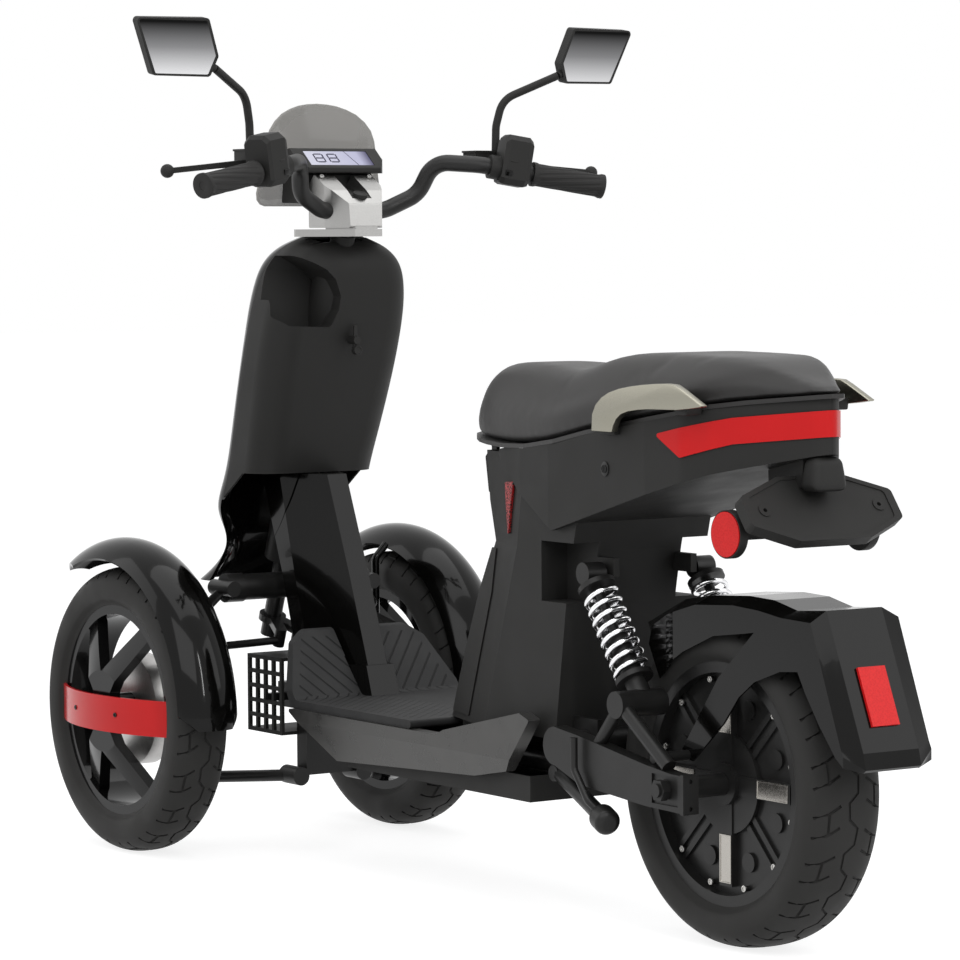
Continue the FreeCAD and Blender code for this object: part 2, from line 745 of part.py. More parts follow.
def leg_hull(inset, drop):
    """The outer form of shield and leg panel, or its inner form inset by the wall."""
    wires = []
    for up_share, rear_share, front_share, width_share in leg_section_shares:
        z = leg_base_z + leg_height * up_share
        middle = steering_point(z).x
        rear = middle + leg_depth * rear_share + inset
        front = middle + leg_depth * front_share - inset
        half = leg_half_width * width_share - inset
        corners = [vec(rear, -half, z - drop), vec(front, -half, z - drop), vec(front, half, z - drop),
                   vec(rear, half, z - drop)]
        wires.append(rounded(corners, leg_corner - inset))
    return Part.makeLoft(wires, True, False)


def behind_seam(gap):
    """Everything behind the seam between leg panel and shield."""
    low = steering_point(leg_base_z - leg_height)
    high = steering_point(leg_base_z + 2 * leg_height)
    outline = [(low.x + leg_seam - gap, low.z), (high.x + leg_seam - gap, high.z), (-wheelbase, high.z),
               (-wheelbase, low.z)]
    wire = Part.makePolygon([vec(x, -wheelbase, z) for x, z in outline + outline[:1]])
    return Part.Face(wire).extrude(vec(0, 2 * wheelbase, 0))


def leg_tunnel():
    """The open space below the leg panel's arched lower edge."""
    outline = [(0, panel_bottom_z), (panel_bottom_front_x, panel_bottom_z), (panel_tip_x, panel_tip_z),
               (shield_bay_x, shield_bay_z), (shield_bay_x, 0), (0, 0)]
    return side_plate(outline, -wheelbase, wheelbase, pocket_corner)


def turning_room():
    """The room that the bar clamp's base plate needs over its whole steering range."""
    plan = [(x, y + joint_gap) for x, y in clamp_base_plan]
    plate = plan_plate(plan, clamp_base_z - joint_gap, clamp_base_z + clamp_base_thickness)
    return fused(*[plate.rotated(steering_point(clamp_base_z), axis_up, steer_limit * share)
                   for share in steer_step_shares])


def leg_shells():
    outer = leg_hull(0, 0)
    shell = outer.cut(leg_hull(leg_wall, leg_wall))
    seam = behind_seam(0)
    stem_hole = rod(steering_point(head_tube_top_z), steering_point(head_tube_top_z + wheel_radius),
                    stem_radius + joint_gap)
    shell = shell.cut(leg_tunnel()).cut(stem_hole).cut(turning_room())
    shield = shell.cut(seam)
    panel = shell.common(behind_seam(fit_gap))
    middle_x = steering_point(sum(z for y, z in pocket_outline) / len(pocket_outline)).x
    rear_x = middle_x - leg_depth
    casing = rod(steering_point(leg_base_z), steering_point(leg_base_z + 2 * leg_height),
                 head_tube_radius + leg_wall)
    outline = [vec(rear_x, y, z) for y, z in pocket_outline]
    deep_x = middle_x - leg_depth * leg_rear_share + pocket_depth
    mouth = Part.Face(rounded(outline, pocket_corner)).extrude(vec(deep_x - rear_x, 0, 0)).cut(casing)
    mouth = mouth.common(behind_seam(leg_wall))
    grown = [vec(rear_x, y, z) for y, z in grow(pocket_outline, leg_wall / 2)]
    lined = Part.Face(rounded(grown, pocket_corner)).extrude(vec(deep_x - rear_x + leg_wall / 2, 0, 0))
    slim_casing = rod(steering_point(leg_base_z), steering_point(leg_base_z + 2 * leg_height),
                      head_tube_radius + fit_gap)
    lining = lined.common(outer).common(behind_seam(fit_gap)).cut(slim_casing)
    panel = fused(fused(panel, lining).cut(mouth), bag_hook())
    return shield, panel


def grow(points, margin):
    """An outline moved outward from its middle by a margin along each direction."""
    middle_a = (max(a for a, b in points) + min(a for a, b in points)) / 2
    middle_b = (max(b for a, b in points) + min(b for a, b in points)) / 2
    return [(a + math.copysign(margin, a - middle_a), b + math.copysign(margin, b - middle_b)) for a,
            b in points]


def bag_hook():
    z = hook_z
    rear = steering_point(z).x - leg_depth * leg_rear_share
    root = vec(rear, hook_y, z)
    return rod(root, root - vec(hook_length, 0, 0), hook_radius)


def frame_clearance():
    """The frame grown by the fit gap, to open the covers that surround it."""
    head = rod(steering_point(head_tube_low_z - overrun), steering_point(head_tube_top_z),
               head_tube_radius + fit_gap)
    foot = vec(down_tube_foot_x, 0, rail_z)
    down = rod(foot, steering_point(down_tube_top_z), down_tube_radius + fit_gap)
    tilt = rod(vec(down_tube_foot_x, 0, upper_arm_z), vec(upper_arm_x, 0, upper_arm_z),
               upper_boss_radius + fit_gap)
    return head.fuse([down, tilt])


def column_section(z, rear, side, front, margin):
    """The column's section: narrow rear face, slanted facets, straight sides."""
    nose = column_rear_half_width + margin
    half = column_half_width + margin
    loop = [vec(rear - margin, -nose, z), vec(side, -half, z), vec(front + margin, -half, z),
            vec(front + margin, half, z),
            vec(side, half, z), vec(rear - margin, nose, z)]
    return Part.makePolygon(loop + loop[:1])


def column_boot(margin, overhead):
    low, high = column_stations[-1], column_stations[-2]
    share = boot_height / (high[0] - low[0])
    top = [a + (b - a) * share for a, b in zip(low, high)]
    top[0] += overhead
    floor = list(low)
    floor[0] -= overhead
    return Part.makeLoft([column_section(*floor, margin), column_section(*top, margin)], True, True)


def column_cover():
    body = Part.makeLoft([column_section(*station, 0) for station in column_stations], True, True)
    body = body.fuse(column_boot(boot_margin, 0))
    return body.cut(frame_clearance()).cut(leg_hull(-fit_gap, 0).cut(leg_hull(leg_wall + fit_gap, leg_wall)))


def grid_cover():
    """The lattice box on both sides of the front beam."""
    outer = block(grid_rear_x, grid_front_x, -grid_half_width, grid_half_width, grid_low_z, grid_top_z)
    inner = block(grid_rear_x - overrun, grid_front_x + overrun, -grid_half_width + grid_wall,
                  grid_half_width - grid_wall, grid_low_z + grid_wall, grid_top_z - grid_wall)
    cells = []
    pitch_x = (grid_front_x - grid_rear_x - grid_rib) / grid_columns
    pitch_z = (grid_top_z - grid_low_z - grid_rib) / grid_rows
    for i in range(grid_columns):
        for j in range(grid_rows):
            x = grid_rear_x + grid_rib + i * pitch_x
            z = grid_low_z + grid_rib + j * pitch_z
            cells.append(block(x, x + pitch_x - grid_rib, -wheelbase, wheelbase, z, z + pitch_z - grid_rib))
    hanger = block(lower_pivot_x - lower_pivot_radius - fit_gap, lower_pivot_x + lower_pivot_radius + fit_gap,
                   -lower_pivot_y - fit_gap, lower_pivot_y + fit_gap, 0, grid_top_z - grid_wall)
    return outer.cut(inner).cut(Part.makeCompound(cells)).cut(hanger)


def suspension_links():
    """Upper cross tube with its clevises and links, and the two lower arms."""
    upper_low = vec(upper_arm_x, -upper_arm_half_span, upper_arm_z)
    upper_high = vec(upper_arm_x, upper_arm_half_span, upper_arm_z)
    tube = rod(upper_low, upper_high, upper_arm_radius)
    boss = upper_boss_radius + fit_gap
    tube = tube.cut(block(0, upper_arm_x + fit_gap, -boss, boss, 0, wheelbase))
    top_ball = kingpin_point(steer_arm_z) + axis_up * (steer_arm_thickness / 2 + ball_radius + fit_gap)
    low_ball = kingpin_point(upright_low_z) - axis_up * (ball_radius + fit_gap)
    pieces = [tube]
    for side in (1, -1):
        def at_side(point):
            return vec(point.x, side * point.y, point.z)
        end = at_side(upper_high)
        pieces.append(rod(end - vec(0, side * clevis_length, 0), end, upper_arm_radius + clevis_lip))
        pieces.append(rod(end - vec(clevis_length, 0, 0), end + vec(clevis_length, 0, 0), clevis_radius))
        pieces.append(rod(end, at_side(top_ball), link_radius))
        pieces.append(Part.makeSphere(ball_radius, at_side(top_ball)))
    upper = fused(*pieces)
    arms = []
    for side in (1, -1):
        pivot = vec(lower_pivot_x, side * (lower_pivot_y + lower_pivot_radius + fit_gap), lower_pivot_z)
        barrel = rod(pivot - vec(lower_pivot_length / 2, 0, 0), pivot + vec(lower_pivot_length / 2, 0, 0),
                     lower_pivot_radius)
        end = vec(low_ball.x, side * low_ball.y, low_ball.z)
        arm = rod(pivot, end, lower_arm_radius)
        arms.append(fused(barrel, arm, Part.makeSphere(ball_radius, end)))
    return Part.makeCompound([upper] + arms)


def floor_mat():
    upper = [(floor_rear_x, floor_top_z), (floor_front_x, floor_top_z), (wing_top_x, wing_top_z)]
    lower = [(wing_top_x + floor_thickness, wing_top_z), (floor_front_x + floor_thickness,
                                                          floor_top_z - floor_thickness),
             (floor_rear_x, floor_top_z - floor_thickness)]
    mat = side_plate(upper + lower, -floor_half_width, floor_half_width, floor_thickness)
    rear_view = [(-floor_half_width, 0), (floor_half_width, 0),
                 (floor_half_width, floor_top_z + floor_thickness),
                 (wing_shoulder_y, wing_shoulder_z), (wing_top_y, wing_top_z), (-wing_top_y, wing_top_z),
                 (-wing_shoulder_y, wing_shoulder_z), (-floor_half_width, floor_top_z + floor_thickness)]
    wire = rounded([vec(0, y, z) for y, z in rear_view], floor_thickness)
    mat = mat.common(Part.Face(wire).extrude(vec(wheelbase, 0, 0)))
    space = column_boot(boot_margin + fit_gap, floor_thickness)
    column = Part.makeLoft([column_section(*station, boot_margin) for station in column_stations], True, True)
    return mat.cut(space).cut(column)


def skirts():
    """Side skirts: a bevelled plate with a thicker block at its rear."""
    inner = skirt_half_width - skirt_thickness
    plate = side_plate(skirt_outline, inner, skirt_half_width, rim_lip)
    low_cut = [(skirt_outline[0][0] + overrun, 0), (0, 0), (0, skirt_crease_rear_z),
               (skirt_outline[0][0] + overrun, skirt_crease_front_z)]
    slope = math.degrees(math.atan2(skirt_bevel_depth, skirt_crease_front_z - skirt_outline[-1][1]))
    wedge = side_plate(low_cut, 0, skirt_thickness, running_gap)
    hinge = vec(0, 0, (skirt_crease_rear_z + skirt_crease_front_z) / 2)
    wedge = wedge.rotated(hinge, x_axis, -slope).translated(vec(0, skirt_half_width, 0))
    return both_sides(plate.cut(wedge))


def belly_tray():
    outer = block(tray_rear_x, tray_front_x, -tray_half_width, tray_half_width, tray_low_z,
                  rail_z - rail_radius - fit_gap)
    inner = block(tray_rear_x + leg_wall, tray_front_x - leg_wall, -tray_half_width + leg_wall,
                  tray_half_width - leg_wall,
                  tray_low_z + leg_wall, wheelbase)
    return outer.cut(inner)


def box_hull(margin):
    """The box's outer form: narrow nose, slanted front facets, straight sides; grown by a margin."""
    wires = []
    nose = box_nose_half_width + margin
    half = box_half_width + margin
    for z, front, facet, rear in box_stations:
        left = [(front + margin, nose), (facet, half), (rear - margin, half)]
        loop = [vec(x, y, z) for x, y in left] + [vec(x, -y, z) for x, y in left[::-1]]
        wires.append(Part.makePolygon(loop + loop[:1]))
    return Part.makeLoft(wires, True, True)


def battery_box():
    body = box_hull(0)
    ridge = side_plate(ridge_outline, ridge_inner_y, box_half_width * 2, rim_lip).common(box_hull(ridge_proud))
    body = fused(body, ridge, mirrored(ridge))
    slot = block(0, slot_depth_x, slot_inner_y, box_half_width + overrun, slot_low_z, slot_top_z)
    body = body.cut(slot).cut(mirrored(slot))
    bay = block(bay_rear_x, bay_front_x, -bay_half_width, bay_half_width, bay_floor_z, wheelbase)
    tower = block(*shock_tower)
    return fused(body.cut(bay), tower, mirrored(tower))


def mesh_inserts():
    zone = side_plate(insert_outline, 0, box_half_width * 2, rim_lip / 2)
    return both_sides(box_hull(insert_thickness).cut(box_hull(fit_gap)).common(zone))


def seat_line():
    """The line below the seat, from rear to front, on which the seat base rests."""
    line = [(x, low - fit_gap) for x, half, low, top in reversed(seat_sections) if x < tail_front_x]
    return line


def tail_hull(inset):
    side = side_plate(tail_belt + seat_line(), -wheelbase, wheelbase, tail_wall / 4)
    plan = [(x, y - inset) for x, y in tail_plan[:-1]]
    rear_x = tail_plan[-1][0] + inset
    loop = plan + [(rear_x, 0)] + [(x, -y) for x, y in reversed(plan)]
    wire = rounded([vec(x, y, 0) for x, y in loop], leg_corner)
    return side, Part.Face(wire).extrude(vec(0, 0, wheelbase))


def tail_covers():
    side, outer = tail_hull(0)
    side, inner = tail_hull(tail_wall)
    ring = side.common(outer).cut(inner)
    ring = ring.cut(block(-wheelbase, wheelbase, -fit_gap / 2, fit_gap / 2, 0, wheelbase))
    return ring.cut(box_hull(fit_gap))


def tail_band():
    band = side_plate(band_outline, -wheelbase, wheelbase, rim_lip)
    side, grown = tail_hull(-band_proud)
    side, outer = tail_hull(-fit_gap)
    return band.common(grown).cut(outer)


def undertail():
    points = tail_belt[1:]
    lifted = [(x, z + undertail_thickness) for x, z in reversed(points)]
    plate = side_plate(points + lifted, -wheelbase, wheelbase, undertail_thickness / 4)
    side, inner = tail_hull(tail_wall + fit_gap)
    return plate.common(inner).cut(box_hull(fit_gap))


def nose_trim():
    """Panel below the seat's front, with the two lugs that carry the seat's hinge pin."""
    trim = side_plate(nose_outline, -nose_half_width, nose_half_width, rim_lip).cut(box_hull(fit_gap))
    axis = vec(seat_hinge_x, 0, seat_hinge_z)
    lug_front_x = seat_hinge_x + hinge_lug_radius * hinge_lug_front_share
    pieces = [trim]
    for side in (1, -1):
        y0, y1 = sorted((side * hinge_lug_y, side * (hinge_lug_y + hinge_lug_width)))
        pieces.append(block(seat_hinge_x - hinge_lug_radius, lug_front_x, y0, y1,
                            seat_hinge_z - hinge_lug_drop, seat_hinge_z))
        pieces.append(rod(axis + vec(0, y0, 0), axis + vec(0, y1, 0), hinge_lug_radius))
    reach = hinge_lug_y + hinge_lug_width
    pieces.append(rod(axis - vec(0, reach, 0), axis + vec(0, reach, 0), hinge_pin_radius))
    return fused(*pieces)


def hinge_space():
    """The space the hinge lugs and pin need below the seat, at every opening angle."""
    reach = hinge_lug_y + hinge_lug_width + joint_gap
    axis = vec(seat_hinge_x, 0, seat_hinge_z)
    return rod(axis - vec(0, reach, 0), axis + vec(0, reach, 0), hinge_lug_radius + joint_gap)


def seat_cushion():
    wires = []
    for x, half, low, top in seat_sections:
        low += seat_base_thickness
        middle = low + (top - low) * seat_edge_share
        points = [(half - rim_lip, low), (half, middle), (half * seat_top_share, top),
                  (-half * seat_top_share, top),
                  (-half, middle), (-half + rim_lip, low)]
        wires.append(rounded([vec(x, y, z) for y, z in points], (top - low) / 2))
    return Part.makeLoft(wires, True, False).cut(seat_base()).cut(hinge_space())


def seat_base():
    wires = []
    for x, half, low, top in seat_sections:
        inner = half * seat_base_width_share
        high = low + seat_base_thickness - fit_gap
        points = [(inner, low), (inner, high), (-inner, high), (-inner, low)]
        loop = [vec(x, y, z) for y, z in points]
        wires.append(Part.makePolygon(loop + loop[:1]))
    base = Part.makeLoft(wires, True, True).cut(hinge_space())
    lugs = []
    for side in (1, -1):
        y0, y1 = sorted((side * hinge_eye_y, side * (hinge_lug_y - fit_gap)))
        eye = rod(vec(seat_hinge_x, y0, seat_hinge_z), vec(seat_hinge_x, y1, seat_hinge_z), hinge_lug_radius)
        neck_x = seat_hinge_x - hinge_lug_radius - joint_gap - hinge_lug_width
        neck = side_plate([(seat_hinge_x, seat_hinge_z - hinge_lug_radius),
                           (seat_hinge_x, seat_hinge_z + hinge_lug_radius),
                           (neck_x, seat_hinge_z + 2 * hinge_lug_radius), (neck_x, seat_hinge_z)], y0, y1,
                           rim_lip / 2)
        lugs += [eye, neck]
    bore = rod(vec(seat_hinge_x, -nose_half_width, seat_hinge_z),
               vec(seat_hinge_x, nose_half_width, seat_hinge_z),
               hinge_pin_radius + running_gap * 2)
    return fused(base, *lugs).cut(bore)


def grab_rails():
    """Flat bands along both sides of the seat, with a front foot and a rear stay."""
    outline = rail_top_line + rail_low_line[::-1]
    band = side_plate(outline, rail_inner_y, rail_outer_y, rim_lip)
    foot = side_plate(rail_foot_outline, rail_foot_y, rail_outer_y, rim_lip)
    x0, x1, z0, z1 = rail_stay
    stay = block(x0, x1, rail_stay_y, rail_outer_y - rim_lip, z0, z1)
    return both_sides(fused(band, foot, stay))


def swingarm():
    """Two box arms on one pivot tube, each with a truss that carries the shock's lower eye."""
    arm = side_plate(arm_outline, arm_inner_y, arm_outer_y, rim_lip)
    boss = rod(vec(pivot_plate_x, arm_inner_y, pivot_plate_z), vec(pivot_plate_x, arm_outer_y, pivot_plate_z),
               arm_end_radius)
    x0, x1, z0, z1 = arm_slot
    slot = block(x0, x1, arm_outer_y - rim_lip, arm_outer_y + overrun, z0, z1)
    end_plate = block(arm_end_x - rim_lip, arm_end_x + rim_lip, arm_inner_y - rim_lip / 2,
                      arm_outer_y + rim_lip / 2,
                      *arm_end_z)
    for z in arm_end_holes:
        end_plate = end_plate.cut(rod(vec(arm_end_x - 2 * rim_lip, arm_y, z),
                                      vec(arm_end_x + 2 * rim_lip, arm_y, z), rim_lip))
    eye_low = vec(shock_low[0], arm_barrel_inner_y, shock_low[2])
    eye_high = vec(shock_low[0], arm_outer_y, shock_low[2])
    pieces = [arm.cut(slot), boss, end_plate, rod(eye_low, eye_high, arm_boss_radius)]
    low = vec(shock_low[0], arm_y, shock_low[2])
    for (x, z), radius in zip(truss_feet, truss_radii):
        pieces.append(rod(low, vec(x, arm_y, z), radius))
    pieces.append(side_plate(gusset_outline, arm_y - rim_lip, arm_y + rim_lip, rim_lip / 2))
    pieces.append(rod(vec(fender_boss_x, rear_fender_half_width + fit_gap, fender_boss_z),
                      vec(fender_boss_x, arm_y, fender_boss_z), fender_boss_radius))
    left = fused(*pieces)
    pivot = rod(vec(pivot_plate_x, -arm_y, pivot_plate_z), vec(pivot_plate_x, arm_y, pivot_plate_z),
                arm_boss_radius)
    axle_hole = rod(vec(0, -wheelbase, wheel_radius), vec(0, wheelbase, wheel_radius),
                    rear_axle_radius + fit_gap)
    return fused(left, mirrored(left), pivot).cut(axle_hole)


def hexagon(centre, across, length):
    """A nut: six sides, standing along Y from its centre."""
    reach = across / 2 / math.cos(math.radians(30))
    corners = [math.radians(a) for a in range(0, 360, 60)]
    loop = [centre + vec(reach * math.cos(a), 0, reach * math.sin(a)) for a in corners]
    return Part.Face(Part.makePolygon(loop + loop[:1])).extrude(vec(0, length, 0))


def rear_axle_bar():
    """Axle with its outer nuts and the spacers beside the motor."""
    y0 = rear_axle_half_length
    bar = rod(vec(0, -y0, wheel_radius), vec(0, y0, wheel_radius), rear_axle_radius)
    washer = rod(vec(0, arm_outer_y - rim_lip + fit_gap, wheel_radius),
                 vec(0, arm_outer_y + fit_gap, wheel_radius),
                 axle_nut_across / 2)
    nut = hexagon(vec(0, arm_outer_y + fit_gap, wheel_radius), axle_nut_across, axle_nut_length)
    spacer = rod(vec(0, motor_face + motor_boss_height + fit_gap, wheel_radius),
                 vec(0, arm_inner_y - fit_gap, wheel_radius),
                 axle_spacer_radius)
    pieces = [washer, nut, spacer]
    return fused(bar, *pieces, *[mirrored(piece) for piece in pieces])


def fender_ring(line, y):
    loop = [vec(x, y, z) for x, z in line]
    return Part.makePolygon(loop + loop[:1])


def rear_fender():
    """Two side walls with a chamfered crown over the wheel, and the flap behind it."""
    ridge = rear_fender_ridge_y
    crown = Part.Face(fender_ring(rear_fender_crown, -ridge)).extrude(vec(0, 2 * ridge, 0))
    slope = Part.makeLoft([fender_ring(rear_fender_crown, ridge),
                           fender_ring(rear_fender_side, rear_fender_half_width)],
                          True, True)
    outer = fused(crown, slope, mirrored(slope))
    plan = [vec(x, y, 0) for x, y in rear_fender_plan] + [vec(x, -y, 0) for x, y in rear_fender_plan[::-1]]
    outer = outer.common(Part.Face(Part.makePolygon(plan + plan[:1])).extrude(vec(0, 0, wheelbase)))
    middle = Part.Face(fender_ring(hollow_crown, -hollow_ridge_y)).extrude(vec(0, 2 * hollow_ridge_y, 0))
    edge = Part.makeLoft([fender_ring(hollow_crown, hollow_ridge_y),
                          fender_ring(hollow_side, rear_fender_half_width - rear_fender_wall)], True, True)
    narrow = [vec(x, y - rear_fender_wall, 0) for x, y in rear_fender_plan]
    narrow += [vec(x, rear_fender_wall - y, 0) for x, y in rear_fender_plan[::-1]]
    hollow = fused(middle, edge, mirrored(edge))
    return outer.cut(hollow.common(Part.Face(Part.makePolygon(narrow + narrow[:1])).extrude(vec(0, 0,
                                                                                                wheelbase))))


def rear_reflector():
    """Red rectangle on the fender's flap, standing on its slanted rear face."""
    top = vec(*rear_fender_crown[flap_top_corner], 0)
    low = vec(*rear_fender_crown[flap_low_corner], 0)
    slope = math.atan2(top.x - low.x, top.y - low.y)
    middle = top + (low - top) * rear_reflector_share
    plate = block(-reflector_thickness / 2, -fit_gap, -rear_reflector_half_width, rear_reflector_half_width,
                  -rear_reflector_height / 2, rear_reflector_height / 2)
    plate = plate.rotated(origin, y_axis, math.degrees(slope))
    plate.translate(vec(middle.x, 0, middle.y))
    return plate


def round_reflectors():
    disc = rod(vec(reflector_x, reflector_y, reflector_z), vec(reflector_x, reflector_y + reflector_thickness,
                                                               reflector_z),
               reflector_radius)
    return both_sides(disc)


def lamp_cup():
    root = vec(lamp_cup_x - fit_gap, 0, lamp_cup_z)
    return rod(root, root - vec(lamp_cup_height, 0, 0), lamp_cup_radius)


def plate_holder():
    """Eight-sided plate, tilted back, with the arm that hangs it below the tail."""
    wire = rounded([vec(0, y, z) for y, z in holder_outline], pocket_corner)
    plate = Part.Face(wire).extrude(vec(holder_thickness, 0, 0))
    inner = [vec(0, y * holder_face_share, z * holder_face_share) for y, z in holder_outline]
    face = Part.Face(rounded(inner, pocket_corner)).extrude(vec(rim_lip / 2, 0, 0))
    plate = plate.cut(face.translated(vec(-running_gap, 0, 0)))
    for side in (1, -1):
        pad = rod(vec(0, side * holder_screw_y, 0), vec(holder_thickness, side * holder_screw_y, 0),
                  3 * holder_screw_radius)
        hole = rod(vec(-overrun, side * holder_screw_y, 0), vec(holder_thickness + overrun,
                                                                side * holder_screw_y, 0),
                   holder_screw_radius)
        plate = plate.fuse(pad).cut(hole)
    plate = plate.removeSplitter().rotated(origin, y_axis, holder_tilt)
    plate.translate(vec(holder_x, 0, holder_middle_z))
    arm = block(lamp_cup_x, holder_arm_x, -holder_arm_half_width, holder_arm_half_width, holder_arm_z,
                holder_arm_z + wheel_radius)
    cross = block(reflector_x - link_radius, reflector_x + link_radius, -reflector_y + fit_gap,
                  reflector_y - fit_gap,
                  reflector_z - link_radius, reflector_z + link_radius)
    drop = block(reflector_x - link_radius, reflector_x + link_radius, -holder_arm_half_width,
                 holder_arm_half_width,
                 reflector_z, holder_arm_z)
    points = [(x, z - fit_gap) for x, z in tail_belt[1:]]
    above = side_plate(points + [(x, z + wheelbase) for x, z in reversed(points)], -wheelbase, wheelbase,
                       running_gap)
    return fused(plate, cross, fused(arm, drop).cut(above))


def handlebar():
    left = bent_bar(bar_points, bar_radius, bar_bend)
    return fused(left, mirrored(left))


def along_bar(distance):
    """A point of the left outer run, at a distance in from its tip, and the run's direction."""
    tip = vec(*bar_points[-1])
    direction = tip - vec(*bar_points[-2])
    direction.normalize()
    return tip - direction * distance, direction


def sleeve(inner_distance, outer_distance, radius):
    """A round piece that fits over the left bar end."""
    outer, direction = along_bar(outer_distance)
    inner, direction = along_bar(inner_distance)
    bore = rod(inner - direction * overrun, outer + direction * overrun, bar_radius + fit_gap)
    return rod(inner, outer, radius).cut(bore)


def grips():
    tip, direction = along_bar(0)
    cap = rod(tip + direction * fit_gap, tip + direction * rim_lip, grip_radius)
    return both_sides(fused(sleeve(grip_length, -fit_gap - running_gap, grip_radius), cap))


def bar_frame(distance):
    """The placement whose Z runs outward along the left bar end and whose Y stays upright."""
    point, direction = along_bar(distance)
    back = direction.cross(z_axis)
    back.normalize()
    upright = back.cross(direction)
    turn = FreeCAD.Rotation(back, upright, direction, "ZXY")
    return FreeCAD.Placement(point, turn)


def switch_boxes():
    """Angular switch housings round the bar, bevelled at both ends."""
    wires = []
    for share, height in ((switch_bevel_share, 0), (1, rim_lip * 2), (1, switch_length - rim_lip * 2),
                          (switch_bevel_share, switch_length)):
        loop = [vec(u * share, v * share, height) for u, v in switch_outline]
        wires.append(Part.makePolygon(loop + loop[:1]))
    box = Part.makeLoft(wires, True, True)
    box.Placement = bar_frame(grip_length + fit_gap + switch_length)
    start, direction = along_bar(grip_length + switch_length * 2)
    end, direction = along_bar(0)
    return both_sides(box.cut(rod(start, end, bar_radius + fit_gap)))


def brake_levers():
    """Lever with its ball end, the clamp round the bar and the reservoir on top."""
    inner = grip_length + switch_length + 2 * fit_gap
    collar = sleeve(inner + lever_clamp_width, inner, lever_clamp_radius)
    pivot = vec(*lever_pivot)
    tip = vec(*lever_tip)
    middle, direction = along_bar(inner + lever_clamp_width / 2)
    neck = rod(middle + vec(lever_clamp_radius, 0, 0), pivot, lever_clamp_width / 2)
    half = reservoir_size / 2
    tank = block(pivot.x - half, pivot.x + half, pivot.y - half, pivot.y - half + reservoir_length,
                 pivot.z - half / 2,
                 pivot.z + half - rim_lip)
    lid = block(pivot.x - half - rim_lip / 2, pivot.x + half + rim_lip / 2, pivot.y - half - rim_lip / 2,
                pivot.y - half + reservoir_length + rim_lip / 2, pivot.z + half - rim_lip, pivot.z + half)
    along = tip - pivot
    wires = []
    for share, depth, height in lever_sections:
        p = pivot + along * share
        loop = [p + vec(-depth, 0, -height), p + vec(depth, 0, -height), p + vec(depth, 0, height),
                p + vec(-depth, 0, height)]
        wires.append(Part.makePolygon(loop + loop[:1]))
    blade = Part.makeLoft(wires, True, True)
    return both_sides(fused(collar, neck, tank, lid, blade, Part.makeSphere(lever_ball_radius, tip)))


def plan_plate(plan, z0, z1):
    """A plate from z0 to z1 with the left half of its plan given as (x, y) points."""
    loop = [vec(x, y, z0) for x, y in plan] + [vec(x, -y, z0) for x, y in plan[::-1]]
    return Part.Face(Part.makePolygon(loop + loop[:1])).extrude(vec(0, 0, z1 - z0))


def bar_clamp():
    """Bright clamp over the bar, with the steering stem and the pitman plate below."""
    base = plan_plate(clamp_base_plan, clamp_base_z, clamp_base_z + clamp_base_thickness)
    body = side_plate(clamp_outline, -clamp_half_width, clamp_half_width, rim_lip)
    body = body.common(plan_plate(clamp_body_plan, 0, wheelbase))
    channel = side_plate(clamp_channel, -clamp_channel_half_width, clamp_channel_half_width, rim_lip)
    body = body.cut(channel)
    core_top = clamp_base_z + clamp_base_thickness + 2 * clamp_groove
    core = plan_plate([(x + joint_gap, y - joint_gap) for x, y in clamp_body_plan[:-1]], clamp_base_z, core_top)
    stem = rod(steering_point(stem_low_z), steering_point(stem_top_z), stem_radius)
    bore = bent_bar(bar_points[:4], bar_radius + fit_gap, bar_bend)
    return fused(base, core, body, stem, pitman_plate()).cut(bore).cut(mirrored(bore))


def pitman_plate():
    """The plate at the stem's foot that carries both tie rod pins."""
    foot = steering_point(steer_arm_z)
    pins = [foot + arm_back * steer_arm_length + vec(0, side * pitman_half_spacing, 0) for side in (1, -1)]
    low = axis_up * (-steer_arm_thickness / 2)
    pieces = [rod(foot + low, foot - low, pitman_hub_radius)]
    for pin in pins:
        pieces.append(rod(pin + low, pin - low, tie_eye_radius))
        pieces.append(rod(pin + low, pin + low - axis_up * pin_reach(), tie_pin_radius))
        pieces.append(plank(foot, pin, tie_eye_radius, steer_arm_thickness))
    return fused(*pieces)


def pin_reach():
    return tie_eye_radius * 2 + fit_gap


def plank(start, end, half_width, thickness):
    """A flat arm square to the steering axes, between two points."""
    along = end - start
    along.normalize()
    across = axis_up.cross(along)
    across.normalize()
    low = axis_up * (-thickness / 2)
    loop = [start + across * half_width + low, end + across * half_width + low, end - across * half_width + low,
            start - across * half_width + low]
    return Part.Face(Part.makePolygon(loop + loop[:1])).extrude(axis_up * thickness)


def tie_rod():
    """The left tie rod, below the pitman plate and the steering arm, eye to eye."""
    below = axis_up * (-steer_arm_thickness / 2 - fit_gap - tie_eye_radius)
    inner = steering_point(steer_arm_z) + arm_back * steer_arm_length + vec(0, pitman_half_spacing, 0) + below
    outer = kingpin_point(steer_arm_z) + arm_back * steer_arm_length + vec(0, pitman_half_spacing, 0) + below
    pieces = [rod(inner, outer, tie_rod_radius)]
    for eye in (inner, outer):
        pieces.append(rod(eye - axis_up * tie_eye_radius, eye + axis_up * tie_eye_radius, tie_eye_radius))
    whole = fused(*pieces)
    for eye in (inner, outer):
        whole = whole.cut(rod(eye - axis_up * steer_arm_length, eye + axis_up * steer_arm_length,
                              tie_pin_radius + tie_gap))
    return whole


